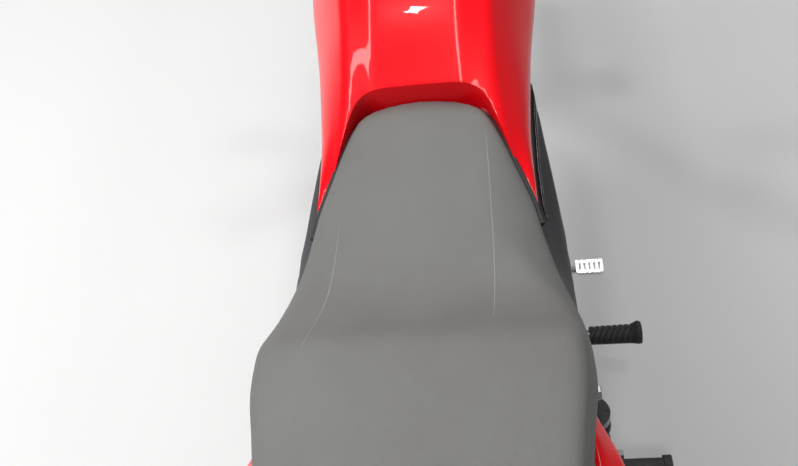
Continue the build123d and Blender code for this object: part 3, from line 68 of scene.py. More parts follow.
# The upright machine, in millimetres, to the parked one in metres
lean_angle = math.radians(8)
rear_radius = 312.0
front_radius = 308.0
wheelbase = 1315.0
low_corner, high_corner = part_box("rear_tyre")
wheel_middle = (Vector(low_corner) + Vector(high_corner)) / 2
axle_height = Vector((0, rear_radius * math.sin(lean_angle), rear_radius * math.cos(lean_angle)))
park = (Matrix.Translation(wheel_middle - axle_height / 1000)
        @ Matrix.Rotation(-lean_angle, 4, "X") @ Matrix.Scale(0.001, 4))


# Materials
def new_material(name):
    """A material with its node tree, shader and object coordinates."""
    made = bpy.data.materials.new(name)
    made.use_nodes = True
    tree = made.node_tree
    place = tree.nodes.new("ShaderNodeTexCoord")
    return made, tree, tree.nodes["Principled BSDF"], place.outputs["Object"]


def set_inputs(made, **inputs):
    """Sets or links a shader node's inputs, named with underscores for spaces."""
    for name, value in inputs.items():
        socket = made.inputs[name.replace("_", " ")]
        if isinstance(value, bpy.types.NodeSocket):
            made.id_data.links.new(value, socket)
        else:
            socket.default_value = value


def add_node(tree, kind, output, **inputs):
    made = tree.nodes.new(kind)
    set_inputs(made, **inputs)
    return made.outputs[output]


def noise_texture(tree, place, scale, detail=4.0, roughness=0.55, stretch=None):
    """Noise on object coordinates, stretched where asked."""
    if stretch:
        place = add_node(tree, "ShaderNodeMapping", "Vector", Vector=place, Scale=stretch)
    return add_node(tree, "ShaderNodeTexNoise", "Fac", Vector=place, Scale=scale, Detail=detail,
                    Roughness=roughness)


def ramp(tree, factor, stops):
    """Colours along a factor, from (place, colour) stops."""
    made = tree.nodes.new("ShaderNodeValToRGB")
    elements = made.color_ramp.elements
    while len(elements) < len(stops):
        elements.new(0.5)
    for element, (place, colour) in zip(elements, stops):
        element.position = place
        element.color = (*colour, 1)
    tree.links.new(factor, made.inputs["Fac"])
    return made.outputs["Color"]


def spread(tree, factor, low, high, start=0.3, end=0.7):
    """A factor spread over a range of values."""
    return add_node(tree, "ShaderNodeMapRange", "Result", Value=factor, From_Min=start,
                    From_Max=end, To_Min=low, To_Max=high)


def bump(tree, shader, layers):
    """Stacked bumps from (height, strength, distance in metres) layers."""
    under = {}
    for height, strength, distance in layers:
        under = {"Normal": add_node(tree, "ShaderNodeBump", "Normal", Height=height,
                                    Strength=strength, Distance=distance, **under)}
    set_inputs(shader, **under)


def surface(name, dark, light, rough, metal=0.0, coat=0.0, grain=(260, 0.05, 0.0002),
            cloud=9.0, stretch=None):
    """A finish whose colour and gloss vary softly, with a fine grain."""
    made, tree, shader, place = new_material(name)
    clouds = noise_texture(tree, place, cloud, 5, 0.6)
    set_inputs(shader, Base_Color=ramp(tree, clouds, [(0.3, dark), (0.7, light)]),
               Roughness=spread(tree, clouds, *rough), Metallic=metal)
    if coat:
        set_inputs(shader, Coat_Weight=coat, Coat_Roughness=0.03)
    scale, strength, distance = grain
    bump(tree, shader, [(noise_texture(tree, place, scale, 3, 0.6, stretch), strength, distance)])
    return made


def seat_vinyl():
    """Grained matte vinyl whose tone and gloss vary softly, as with dust."""
    made, tree, shader, place = new_material("seat_vinyl")
    clouds = noise_texture(tree, place, 5, 6, 0.62)
    colour = ramp(tree, clouds, [(0.3, (0.132, 0.128, 0.121)), (0.52, (0.148, 0.147, 0.139)),
                                 (0.72, (0.164, 0.164, 0.155))])
    set_inputs(shader, Base_Color=colour, Roughness=spread(tree, clouds, 0.5, 0.66),
               Specular_IOR_Level=0.4)
    cells = tree.nodes.new("ShaderNodeTexVoronoi")
    cells.feature = "DISTANCE_TO_EDGE"
    set_inputs(cells, Vector=place, Scale=620)
    grain = spread(tree, cells.outputs["Distance"], 0, 1, 0.0, 0.16)
    bump(tree, shader, [(noise_texture(tree, place, 60, 4, 0.6), 0.25, 0.001),
                        (grain, 0.35, 0.0003)])
    return made


# Finishes: dark and light colour, roughness range, metal, coat, grain, cloud scale and stretch
finish_rows = {
    "red_paint": ((0.80, 0.0004, 0.005), (0.88, 0.0008, 0.008), (0.3, 0.36), 0, 0.45,
                  (420, 0.03, 0.0001), 6),
    "frame_paint": ((0.016, 0.016, 0.018), (0.03, 0.03, 0.033), (0.3, 0.45), 0, 0.25,
                    (300, 0.08, 0.0002)),
    "engine_alloy": ((0.36, 0.37, 0.38), (0.55, 0.56, 0.57), (0.38, 0.55), 1, 0,
                     (700, 0.3, 0.0003)),
    "wheel_alloy": ((0.44, 0.45, 0.47), (0.56, 0.57, 0.59), (0.3, 0.4), 0.9, 0.4,
                    (500, 0.06, 0.0002)),
    "bright_alloy": ((0.68, 0.68, 0.69), (0.82, 0.82, 0.82), (0.24, 0.36), 1, 0,
                     (300, 0.12, 0.0002), 9, (1, 6, 1)),
    "bare_steel": ((0.46, 0.46, 0.47), (0.62, 0.61, 0.6), (0.26, 0.42), 1, 0,
                   (500, 0.1, 0.0002), 40),
    "bright_chrome": ((0.8, 0.8, 0.81), (0.88, 0.88, 0.89), (0.06, 0.12), 1, 0,
                      (30, 0.02, 0.0002)),
    "spring_black": ((0.016, 0.016, 0.017), (0.03, 0.03, 0.031), (0.22, 0.34), 0, 0.6),
    "exhaust_black": ((0.02, 0.02, 0.021), (0.045, 0.043, 0.042), (0.42, 0.58), 0, 0,
                      (600, 0.12, 0.0002), 14),
    "soft_rubber": ((0.018, 0.018, 0.019), (0.038, 0.037, 0.036), (0.55, 0.75), 0, 0,
                    (900, 0.2, 0.0003), 30),
    "tyre_rubber": ((0.02, 0.02, 0.021), (0.042, 0.041, 0.04), (0.6, 0.8), 0, 0,
                    (900, 0.25, 0.0003), 20),
    "black_plastic": ((0.026, 0.026, 0.028), (0.05, 0.05, 0.053), (0.45, 0.6), 0, 0,
                      (1100, 0.3, 0.0003)),
    "gloss_black": ((0.008, 0.008, 0.009), (0.014, 0.014, 0.016), (0.1, 0.18), 0, 0.8,
                    (200, 0.02, 0.0002)),
    "red_lens": ((0.42, 0.004, 0.004), (0.6, 0.008, 0.008), (0.08, 0.14), 0, 0.5,
                 (90, 0.1, 0.0004)),
    "amber_lens": ((0.75, 0.2, 0.01), (0.92, 0.32, 0.03), (0.08, 0.14), 0, 0.5,
                   (90, 0.1, 0.0004)),
    "chain_steel": ((0.13, 0.12, 0.11), (0.34, 0.32, 0.29), (0.3, 0.55), 0.9, 0,
                    (700, 0.2, 0.0003), 90),
    "plate_white": ((0.66, 0.66, 0.65), (0.76, 0.76, 0.75), (0.3, 0.4)),
    "clear_lens": ((0.9, 0.92, 0.93), (0.95, 0.96, 0.97), (0.02, 0.05), 0, 0.3,
                   (60, 0.05, 0.0003)),
}
finishes = {name: surface(name, *row) for name, row in finish_rows.items()}
finishes["seat_vinyl"] = seat_vinyl()
# The seams' paler colour is a painted highlight along the seat's weld lines
seam_highlight_finish = surface("seat_seam_painted_highlight", (0.2, 0.2, 0.192), (0.25, 0.25, 0.24), (0.5, 0.6))
for name, inputs in (("red_paint", {"Specular_IOR_Level": 0.15}),
                     ("clear_lens", {"Transmission_Weight": 0.92, "IOR": 1.3})):
    set_inputs(finishes[name].node_tree.nodes["Principled BSDF"], **inputs)

for part in frame["record"]["subparts"]:
    mesh = nodes[part["node"]].data
    mesh.materials.clear()
    mesh.materials.append(finishes[part["material_slot"]])
    mesh.shade_smooth()
    mesh.set_sharp_from_angle(angle=math.radians(32))


# Mesh helpers: all lengths are millimetres on the upright machine
def linked(name, mesh):
    """An object from a bmesh in upright millimetres, parked."""
    bmesh.ops.recalc_face_normals(mesh, faces=mesh.faces)
    mesh.normal_update()
    data = bpy.data.meshes.new(name)
    bmesh.ops.transform(mesh, matrix=park, verts=mesh.verts)
    mesh.to_mesh(data)
    mesh.free()
    made = bpy.data.objects.new(name, data)
    bpy.context.scene.collection.objects.link(made)
    return made


def add_piece(name, mesh, finish, body, hides=(), smooth_angle=35):
    """A finished piece that rides on a body, in place of the nodes that it hides."""
    made = linked(name, mesh)
    made.data.materials.append(finishes[finish])
    made.data.shade_smooth()
    made.data.set_sharp_from_angle(angle=math.radians(smooth_angle))
    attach(made, body)
    if hides:
        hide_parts(*hides)
    return made


def add_pieces(body, *rows):
    """Pieces on one body, from name, mesh and finish, then hidden nodes and sharp angle."""
    for name, mesh, finish, *rest in rows:
        add_piece(name, mesh, finish, body, *rest)


def new_meshes(count):
    return [bmesh.new() for _ in range(count)]


def smooth_table(table, step):
    """Rows between the rows of a table, on a smooth curve through them, about a step apart."""
    rows = []
    for number, (near, far) in enumerate(zip(table, table[1:])):
        before, after = table[max(number - 1, 0)], table[min(number + 2, len(table) - 1)]
        span = far[0] - near[0]
        count = max(1, round(abs(span) / step))
        for t in (place / count for place in range(count)):
            row = [near[0] + t * span]
            for a, b, c, d in list(zip(before, near, far, after))[1:]:
                start = span * (c - a) / (far[0] - before[0])
                finish = span * (d - b) / (after[0] - near[0])
                row.append((2 * t ** 3 - 3 * t ** 2 + 1) * b + (t ** 3 - 2 * t ** 2 + t) * start
                           + (3 * t ** 2 - 2 * t ** 3) * c + (t ** 3 - t ** 2) * finish)
            rows.append(row)
    return [*rows, list(table[-1])]


def rounded(points, passes=3, closed=False):
    """A line with its corners cut again and again, its ends kept."""
    for _ in range(passes):
        cut = []
        count = len(points)
        for number in range(count if closed else count - 1):
            a, b = Vector(points[number]), Vector(points[(number + 1) % count])
            cut += [a.lerp(b, 0.25), a.lerp(b, 0.75)]
        points = cut if closed else [Vector(points[0]), *cut[1:-1], Vector(points[-1])]
    return points


def spaced(points, count):
    """Points evenly spaced along a line."""
    points = [Vector(point) for point in points]
    travel = [0.0]
    for a, b in zip(points, points[1:]):
        travel.append(travel[-1] + (b - a).length)
    made = []
    segment = 0
    for number in range(count):
        goal = travel[-1] * number / (count - 1)
        while segment < len(points) - 2 and travel[segment + 1] < goal:
            segment += 1
        length = travel[segment + 1] - travel[segment]
        share = (goal - travel[segment]) / length if length else 0
        made.append(points[segment].lerp(points[segment + 1], min(max(share, 0), 1)))
    return made


def grid_mesh(rings, caps=True, mesh=None, wrap=False):
    """Quads between rings of points, with the end rings capped or joined to each other."""
    mesh = mesh or bmesh.new()
    rows = [[mesh.verts.new(point) for point in ring] for ring in rings]
    for low, high in zip(rows, rows[1:] + rows[:1] if wrap else rows[1:]):
        for number in range(len(low)):
            after = (number + 1) % len(low)
            mesh.faces.new((low[number], low[after], high[after], high[number]))
    if caps and not wrap:
        mesh.faces.new(list(reversed(rows[0])))
        mesh.faces.new(rows[-1])
    return mesh


def circle(centre, across, other, size, sides, start=0.0):
    """Places evenly round a centre, in the plane of two directions, from an angle in degrees."""
    turns = [math.radians(start) + 2 * math.pi * k / sides for k in range(sides)]
    return [centre + size * (math.cos(turn) * across + math.sin(turn) * other) for turn in turns]


def closing(ring, steps, direction=1):
    """Rings that close an end, from (share of its size, distance past it) steps."""
    centre = sum(ring, Vector()) / len(ring)
    return [[centre + (point - centre) * share + Vector((direction * past, 0, 0))
             for point in ring] for share, past in steps]


def rings_along(points, radius, sides=12):
    """Rings square to a line of points, for a tube."""
    points = [Vector(point) for point in points]
    rings = []
    across = None
    for number, point in enumerate(points):
        ahead = points[min(number + 1, len(points) - 1)] - points[max(number - 1, 0)]
        ahead.normalize()
        if across is None:
            across = ahead.orthogonal().normalized()
        across = (across - ahead * across.dot(ahead)).normalized()
        size = radius(number) if callable(radius) else radius
        rings.append(circle(point, across, ahead.cross(across), size, sides))
    return rings


def add_tube(mesh, points, radius, sides=12):
    return grid_mesh(rings_along(points, radius, sides), mesh=mesh)


def add_turned(mesh, place, axis, profile, sides=32):
    """A turned shape: (along, radius) points about an axis through a place."""
    axis = Vector(axis).normalized()
    across = axis.orthogonal().normalized()
    return grid_mesh([circle(Vector(place) + axis * along, across, axis.cross(across),
                             max(radius, 0.01), sides) for along, radius in profile], mesh=mesh)


def add_bolt(mesh, place, axis, size=5.0, kind="dome"):
    """A bolt head with its washer, on a surface at a place."""
    axis = Vector(axis).normalized()
    add_turned(mesh, place, axis, [(-2, size * 1.25), (0.8, size * 1.25), (1.2, size * 1.1)], 20)
    if kind == "hex":
        profile = [(1.0, size), (size * 0.7, size), (size * 0.85, size * 0.86)]
    else:
        profile = [(1.0, size * 0.95), (size * 0.75, size * 0.95), (size * 0.95, size * 0.75),
                   (size * 0.95, size * 0.5), (size * 0.45, size * 0.45)]
    add_turned(mesh, place, axis, profile, 6 if kind == "hex" else 18)


def modified(made, kind, **settings):
    """A modifier put on an object and applied at once."""
    modifier = made.modifiers.new(kind.lower(), kind)
    for key, value in settings.items():
        setattr(modifier, key, value)
    bpy.context.view_layer.objects.active = made
    bpy.context.view_layer.update()
    graph = bpy.context.evaluated_depsgraph_get()
    data = bpy.data.meshes.new_from_object(made.evaluated_get(graph))
    old = made.data
    made.modifiers.remove(modifier)
    made.data = data
    bpy.data.meshes.remove(old)
    return made


# Seat: x, half width and height of the edge, half width of the flat top, bottom, top height
seat_stations = [
    (435.5, 43, 789, 34, 768, 795), (428, 59.5, 789, 51, 764, 798), (415, 73, 789, 66, 760, 800),
    (388, 87, 785, 72, 752, 798), (348, 103, 774, 73, 745, 793), (310, 117, 764, 75, 742, 789),
    (270, 126, 757, 80, 740, 786), (230, 135, 757, 98, 740, 786),
    (200, 143, 762, 116, 742, 789), (172, 150, 771, 131, 747, 798),
    (147, 155, 783, 140, 751, 811), (122, 158, 795, 146, 755, 827),
    (108, 159, 800, 147, 757, 832), (76, 159.5, 803, 146, 760, 834.5),
    (40, 154, 805, 142, 764, 836), (-60, 138, 810, 126, 773, 841),
    (-160, 110, 815, 98, 781, 843), (-230, 78, 815, 68, 787, 841),
    (-262, 46, 812, 38, 796, 834),
]


def seat_ring(x, half, edge_z, flat, low, high, count=72):
    side = [(half - 12, low), (half - 5, low + 1), (half - 1, low + 6),
            (half, (low + edge_z) / 2), (half - 0.5, edge_z - 2),
            ((half * 2 + flat) / 3 - 1, edge_z + 0.45 * (high - 5 - edge_z)),
            (flat, high - 5.5), (flat * 0.6, high - 1.8), (0, high)]
    right = rounded([(x, -y, z) for y, z in side], 3)
    left = [(px, -py, pz) for px, py, pz in reversed(right[:-1])]
    return spaced([*right, *left], count)


def seat_creases(x, y):
    """Depth of the soft creases across the seat ahead of its step, with a gentle ripple all over.
    """
    band = math.exp(-((x - 215) / 55) ** 2)
    fold = noise.noise(Vector((x * 0.05, y * 0.012, 3.1)))
    ripple = noise.noise(Vector((x * 0.02, y * 0.02, 9.7)))
    return band * 1.6 * fold + 0.9 * ripple


def seat():
    rings = [seat_ring(*row) for row in smooth_table(seat_stations, 7)]
    steps = ((0.96, 1.2), (0.88, 1.9), (0.6, 2.3), (0.25, 2.4))
    rings = closing(rings[0], steps)[::-1] + rings + closing(rings[-1], steps, -1)
    mesh = grid_mesh(rings)
    for vert in mesh.verts:
        lift = min(max((vert.co.z - 770) / 15, 0), 1)
        vert.co.z += lift * seat_creases(vert.co.x, vert.co.y)
    made = add_piece("seat", mesh, "seat_vinyl", "chassis", ["seat_cushion"], 60)
    pressed(made)
    return made


cloth_settings = {
    "use_pressure": True, "uniform_pressure_force": 3.0, "vertex_group_mass": "held",
    "pin_stiffness": 2.0, "quality": 5, "mass": 0.4, "tension_stiffness": 40,
    "compression_stiffness": 40, "bending_stiffness": 8,
}
cloth_frames = 15
most_swell = 0.003


def pressed(made):
    """Swells the cover a little with Blender's cloth, its base and ends held."""
    rest = [vert.co.copy() for vert in made.data.vertices]
    upright = park.inverted()
    held = made.vertex_groups.new(name="held")
    for vert in made.data.vertices:
        place = upright @ vert.co
        base = 756 + max(160 - place.x, 0) * 0.085
        free = min(max((place.z - base - 4) / 22, 0), 1)
        held.add([vert.index], 1.0 - 0.75 * free, "REPLACE")
    cloth = made.modifiers.new("cloth", "CLOTH")
    for name, value in cloth_settings.items():
        setattr(cloth.settings, name, value)
    cloth.settings.effector_weights.gravity = 0
    for moment in range(1, cloth_frames + 1):
        bpy.context.scene.frame_set(moment)
    graph = bpy.context.evaluated_depsgraph_get()
    moved = [vert.co.copy() for vert in made.evaluated_get(graph).data.vertices]
    made.modifiers.clear()
    made.vertex_groups.clear()
    bpy.context.scene.frame_set(1)
    for vert, before, after in zip(made.data.vertices, rest, moved):
        step = after - before
        vert.co = before + step * min(1, most_swell / max(step.length, most_swell))


seat_piece = seat()


# Tank: x, top, then half width and height of the crease, the belly and the lower edge
tank_stations = [
    (316.0, 752, 104, 750, 123, 742, 120, 732), (399.9, 800, 92, 792, 121, 750, 112, 724),
    (444.7, 822, 86, 813, 123, 755, 108, 722), (523.1, 862, 84, 848, 129, 762, 105, 722),
    (640.0, 894, 92, 872, 143, 770, 110, 722), (769.9, 906, 94, 880, 150, 776, 112, 724),
    (880.1, 893, 78, 864, 130, 780, 95, 738), (938.2, 850, 40, 838, 62, 798, 50, 764),
]


def tank_ring(x, top, crease_y, crease_z, belly_y, belly_z, low_y, low_z, count=120):
    middle_y = (crease_y + belly_y) / 2 + 3
    middle_z = (crease_z + belly_z) / 2 + 4
    side = [(0, low_z), (low_y - 12, low_z), (low_y, low_z + 2),
            (belly_y - 2, belly_z - 12), (belly_y, belly_z), (belly_y - 2, belly_z + 12),
            (middle_y, middle_z), (crease_y + 5, crease_z - 6), (crease_y, crease_z),
            (crease_y - 9, crease_z + 2.5), (crease_y * 0.64, top - 3.2),
            (crease_y * 0.55, top - 0.8), (0, top)]
    right = rounded([(x, -y, z) for y, z in side], 2)
    left = [(px, -py, pz) for px, py, pz in reversed(right[1:-1])]
    return spaced([*right, *left, right[0]], count + 1)[:-1]


def cut_away(made, rings):
    """Takes a plain closed shape away from a piece."""
    tool = linked("cutter", grid_mesh(rings))
    modified(made, "BOOLEAN", object=tool, operation="DIFFERENCE", solver="EXACT")
    bpy.data.objects.remove(tool)


# The tank's wall round the seat's nose: its plan, then growth outwards and height
riser_plan = [(438.5, 16), (438.5, 44), (437, 60), (429, 72), (413, 81), (388, 91),
              (348, 105), (310, 119), (270, 128), (230, 140)]
riser_profile = [(0, 600), (0, 800), (0.8, 822), (3, 860)]


def fuel_tank():
    rings = [tank_ring(*row) for row in smooth_table(tank_stations, 10)]
    rings += closing(rings[-1], ((0.94, 3), (0.8, 6), (0.5, 8.4), (0.2, 9)))
    made = add_piece("tank", grid_mesh(rings), "red_paint", "chassis", ["fuel_tank"], 40)
    plan = [(x, -y, 0) for x, y in reversed(riser_plan)] + [(x, y, 0) for x, y in riser_plan]
    plan = spaced(rounded(plan, 3), 180)
    rings = []
    for grown, height in riser_profile:
        ring = []
        for number, point in enumerate(plan):
            along = plan[min(number + 1, len(plan) - 1)] - plan[max(number - 1, 0)]
            out = Vector((along.y, -along.x, 0)).normalized()
            ring.append(point + out * grown + Vector((0, 0, height)))
        rings.append(ring)
    cut_away(made, rings)
    start, end = Vector((990, 0, 817)), Vector((420, 0, 689))
    cut_away(made, rings_along([start, end], 29, 24))
    box = [[Vector((x, y, z)) for y, z in ((-29, 600), (29, 600), (29, top), (-29, top))]
           for x, top in ((420, 689), (990, 817))]
    cut_away(made, box)
    modified(made, "BEVEL", width=0.0022, segments=3, limit_method="ANGLE",
             angle_limit=math.radians(50), harden_normals=False)
    made.data.shade_smooth()
    made.data.set_sharp_from_angle(angle=math.radians(40))
    return made


fuel_tank()


# Weld lines along the seat's top, paler than the vinyl as a painted highlight, the right one
# standing where the crown's edge catches light: place along the machine and across it
weld_and_highlight_lines = [
    [(304, 88), (270, 90), (223, 91), (178, 96), (147, 101), (118, 105), (85, 109)],
    [(414, -70), (348, -72), (269, -73), (220, -73), (174, -72), (143, -70), (118, -69)],
]


def seat_welds():
    mesh = bmesh.new()
    upright = park.inverted()
    surface_down = (park.to_3x3() @ Vector((0, 0, -1))).normalized()
    for table in weld_and_highlight_lines:
        line = []
        for x, y, _ in spaced(rounded([(x, y, 0) for x, y in table], 2), 40):
            hit, place, *_ = seat_piece.ray_cast(park @ Vector((x, y, 900)), surface_down)
            if hit:
                line.append(upright @ place + Vector((0, 0, -0.4)))
        add_tube(mesh, line, lambda k, n=len(line): 0.8 * min(1, (k + 1) / 9, (n - k) / 9), 8)
    made = add_piece("seat_welds", mesh, "seat_vinyl", "chassis")
    # Painted highlight: the weld lines take a paler colour than the vinyl
    made.data.materials[0] = seam_highlight_finish
    return made


seat_welds()


def seat_seal():
    """Rubber edge that closes the gap between the cushion and the tank."""
    mesh = bmesh.new()
    rows = [(x + 1.5, half + 1.0, edge_z - 11) for x, half, edge_z, *_ in
            smooth_table(seat_stations[:7], 8) if x > 284]
    line = [(x, -y, z) for x, y, z in reversed(rows)]
    line += [(rows[0][0] + 0.6, y, rows[0][2]) for y in (-20, 0, 20)]
    line += rows
    add_tube(mesh, rounded(line, 1), 4.2, 10)
    for side in (1, -1):
        skirt = [(x, side * (half - 15), low - 4) for x, half, _, _, low, _ in
                 smooth_table(seat_stations[4:-2], 16)]
        add_tube(mesh, skirt, 5.5, 10)
    return add_piece("seat_seal", mesh, "soft_rubber", "chassis")


seat_seal()


# Thin panels, cowl and side covers: x, then y and z of the top edge, the belly and the low edge
panel_wall = 3.2
cowl_stations = [
    (104, 138, 744, 146, 735, 144, 726), (60, 150, 754, 165, 736, 158, 700),
    (15, 158, 763, 181, 738, 171, 674), (-80, 150, 773, 170, 742, 158, 668),
    (-200, 112, 792, 134, 757, 120, 690), (-290, 66, 812, 84, 778, 72, 726),
    (-334, 40, 822, 54, 790, 48, 745),
]
cover_stations = [
    (560, 104, 716, 127, 692, 122, 648), (470, 106, 716, 137, 692, 132, 578),
    (400, 110, 717, 144, 692, 139, 562), (326, 114, 724, 150, 694, 146, 558),
    (270, 122, 735, 153, 696, 150, 590), (220, 136, 736, 155, 697, 152, 640),
    (165, 148, 739, 157, 700, 155, 672), (112, 148, 741, 160, 708, 158, 686),
]


def strip_line(x, top_y, top_z, belly_y, belly_z, low_y, low_z, side, count=22):
    """A panel's section: its top edge, over its belly, to its lower edge."""
    top, belly, low = [Vector((x, side * y, z)) for y, z in (
        (top_y, top_z), (belly_y, belly_z), (low_y, low_z))]
    inward = Vector((0, -3 * side, -1))
    line = rounded([top + inward, top, belly.lerp(top, 0.14), belly, belly.lerp(low, 0.05),
                    low.lerp(belly, 0.08), low, low + inward], 2)
    return spaced(line, count)


def panel_mesh(table, side, step, mesh):
    """A thin panel with an inside and an outside, closed round its edges."""
    rings = []
    for row in smooth_table(table, step):
        line = strip_line(*row, side)
        inner = [point + Vector((0, -side * panel_wall, -1.5 if place < 4 else 0))
                 for place, point in enumerate(line)]
        rings.append([*line, *reversed(inner)])
    return grid_mesh(rings, mesh=mesh)


def tail_cowl():
    mesh = bmesh.new()
    for side in (1, -1):
        panel_mesh(cowl_stations, side, 9, mesh)
    rings = []
    for x, top_y, top_z, *_ in smooth_table(cowl_stations[-2:], 8):
        line = [Vector((x, y, top_z - 0.5 + 3 * (1 - (y / top_y) ** 2)))
                for y in (top_y * (k / 8 - 1) for k in range(17))]
        rings.append(line + [point - Vector((0, 0, 3)) for point in reversed(line)])
    grid_mesh(rings, mesh=mesh)
    x, top_y, top_z, belly_y, belly_z, low_y, low_z = cowl_stations[-1]
    outline = [(top_y, top_z), (belly_y, belly_z), (low_y, low_z)]
    outline = [(0, -y, z) for y, z in outline] + [(0, y, z) for y, z in reversed(outline)]
    end = spaced(rounded(outline, 2, closed=True), 49)[:-1]
    grid_mesh([[Vector((x + ahead, y * share, 784 + (z - 784) * share)) for _, y, z in end]
               for ahead, share in ((5, 0.99), (0, 1.0), (-2, 0.96))], mesh=mesh)
    return add_piece("tail_cowl_skin", mesh, "red_paint", "chassis", ["tail_cowl"], 45)


tail_cowl()


# Gloss strip on the covers: place along the machine, share of the way from top edge to belly
strip_path = [(300, 0.5), (335, 0.42), (360, 0.43), (400, 0.48), (440, 0.6), (480, 0.72),
              (520, 0.9), (560, 1.0)]


def between(table, place):
    """A value read off a table of (place, value), with its ends held."""
    for (low, first), (high, second) in zip(table, table[1:]):
        if place <= high:
            share = min(max((place - low) / (high - low), 0), 1)
            return first + share * (second - first)
    return table[-1][1]


def side_covers():
    """Covers with a gloss strip beside the tank's wing."""
    mesh, strip, studs = new_meshes(3)
    for side in (1, -1):
        panel_mesh(cover_stations, side, 9, mesh)
        line = []
        for x, top_y, top_z, belly_y, belly_z, *_ in smooth_table(cover_stations[:5], 8):
            share = between(strip_path, x)
            line.append(Vector((x, side * (top_y + share * (belly_y - top_y) + 0.8),
                                top_z - share * (top_z - belly_z) + 0.8)))
        line = [point for point in line if 312 < point.x < 548]
        add_tube(strip, line, lambda k, n=len(line): 2.8 * min(1, (k + 1) / 6, (n - k) / 6), 12)
        for x, reach in ((274, 97), (483, 65)):
            add_turned(studs, (x, side * reach, 605), (0, side, 0), [(0, 5), (142 - reach, 5)], 14)
    add_pieces("chassis", ("side_cover_skins", mesh, "black_plastic", ["side_covers"], 45),
               ("side_cover_strips", strip, "gloss_black"),
               ("side_cover_studs", studs, "black_plastic"))


side_covers()


# Tyres with cut treads: radius of the bead, then blocks of the tread as steps round it
bead_radius = 238.0
steps_per_block = 18
groove_depth, slot_depth = 3.6, 2.8


def groove(across, share, left):
    """Depth of the tread's cuts, at a share of the half width and of a block."""
    middle = 0.06 * math.sin(4 * math.pi * share)
    slant = (share + 0.55 * abs(across) + 0.5 * left) % 1.0
    if abs(across - middle) < 0.045 or (0.2 < abs(across) < 0.9 and slant < 0.12):
        return groove_depth
    return slot_depth if 0.42 < abs(across) < 0.52 and 0.2 < slant < 0.9 else 0.0


def tyre(name, node, hub, radius, width, body, blocks):
    """A tyre whose grooves are cut into a fine grid round its crown."""
    half, crown = width / 2, radius - bead_radius
    side = [(27, 238.5), (29, 247), (half - 3, 238 + 0.42 * crown), (half, 238 + 0.62 * crown),
            (0.86 * half, 238 + 0.8 * crown), (0.66 * half, radius - 0.075 * crown),
            (0.36 * half, radius - 0.02 * crown), (0, radius)]
    right = rounded([(y, r, 0) for y, r in side], 3)
    line = spaced(right + [(-y, r, 0) for y, r, _ in reversed(right[:-1])], 75)
    count = blocks * steps_per_block
    rings = []
    for number in range(count):
        share = (number % steps_per_block) / steps_per_block
        angle = 2 * math.pi * number / count
        ring = []
        for y, r, _ in line:
            if abs(y / half) < 0.93 and r > radius - 0.42 * crown:
                r -= groove(y / half, share, y > 0)
            ring.append(hub + Vector((r * math.sin(angle), y, r * math.cos(angle))))
        rings.append(ring)
    add_piece(name, grid_mesh(rings, wrap=True), "tyre_rubber", body, [node], 30)


rear_hub = Vector((0, 0, rear_radius))
front_hub = Vector((wheelbase, 0, front_radius))
tyre("front_tyre_treaded", "front_tyre", front_hub, front_radius, 80.0, "front_wheel", 30)
tyre("rear_tyre_treaded", "rear_tyre", rear_hub, rear_radius, 92.0, "rear_wheel", 28)


# Rider's pegs: ribbed rubber with a raised end
peg_start, peg_length, peg_x, peg_z = 192, 75, 378, 330
peg_steps = 120


def footpegs():
    mesh = bmesh.new()
    for side in (1, -1):
        rings = []
        for share in (number / peg_steps for number in range(peg_steps + 1)):
            swell = math.exp(-((share - 0.93) / 0.085) ** 2)
            ring = []
            for turn in (2 * math.pi * k / 40 for k in range(40)):
                up = math.cos(turn)
                radius = 12.4 + 0.8 * share + (5.0 * max(up, 0) + 1.2) * swell
                wave = (share * 9 + 0.9 * math.sin(turn) * side) % 1.0
                if up > 0.15 and share < 0.82 and wave < 0.34:
                    radius -= 2.3
                if share in (0, 1):
                    radius -= 2.5
                flat = 0.92 if up > 0 else 1.0
                ring.append(Vector((peg_x + 1.12 * radius * math.sin(turn),
                                    side * (peg_start + peg_length * share),
                                    peg_z + flat * radius * up)))
            rings.append(ring)
        grid_mesh(rings, mesh=mesh)
    add_piece("footpeg_ribbed", mesh, "soft_rubber", "chassis", ["footpeg_rubbers"], 32)


footpegs()


# Brake pedal's pad: pressed alloy with oval slots, in half sizes along and across the slots
slot_half, web_half = (9.6, 2.7), (12.5, 3.8)
slot_pitch = 7.6


def pedal_pad():
    mesh = bmesh.new()
    for number in range(5):
        middle = Vector((525.5, -193 - slot_pitch * number, -1))
        inner, outer = [], []
        for c, s in ((math.cos(math.pi * k / 10), math.sin(math.pi * k / 10)) for k in range(20)):
            bulge = max(abs(c), abs(s))
            inner.append(middle + Vector((slot_half[0] * c, slot_half[1] * s, 0)))
            outer.append(middle + Vector((web_half[0] * c, web_half[1] * s, 0)) / bulge)
        levels = ((outer, 286), (outer, 289.4), (inner, 290.4), (inner, 283.4), (outer, 282.4))
        rings = [[point + Vector((0, 0, z)) for point in ring] for ring, z in levels]
        grid_mesh(rings + rings[:1], caps=False, mesh=mesh)
    bmesh.ops.remove_doubles(mesh, verts=mesh.verts, dist=0.02)
    add_piece("brake_pedal_pad", mesh, "bright_alloy", "chassis", (), 30)


pedal_pad()


# Places on the raked steering, on the leaning cylinder and on a node's surface
forward, across, upward = Vector((1, 0, 0)), Vector((0, 1, 0)), Vector((0, 0, 1))
rake = math.radians(26)
axis_up = Vector((-math.sin(rake), 0, math.cos(rake)))
axis_forward = Vector((math.cos(rake), 0, math.sin(rake)))
axis_foot = front_hub - 48 * axis_forward
cylinder_tilt = math.radians(15)
cylinder_along = Vector((math.cos(cylinder_tilt), 0, -math.sin(cylinder_tilt)))
cylinder_up = Vector((math.sin(cylinder_tilt), 0, math.cos(cylinder_tilt)))


def on_steering(reach, y, along):
    return axis_foot + axis_forward * reach + across * y + axis_up * along


def on_cylinder(x, y, z):
    return Vector((704, 0, 470)) + cylinder_along * x + across * y + cylinder_up * z


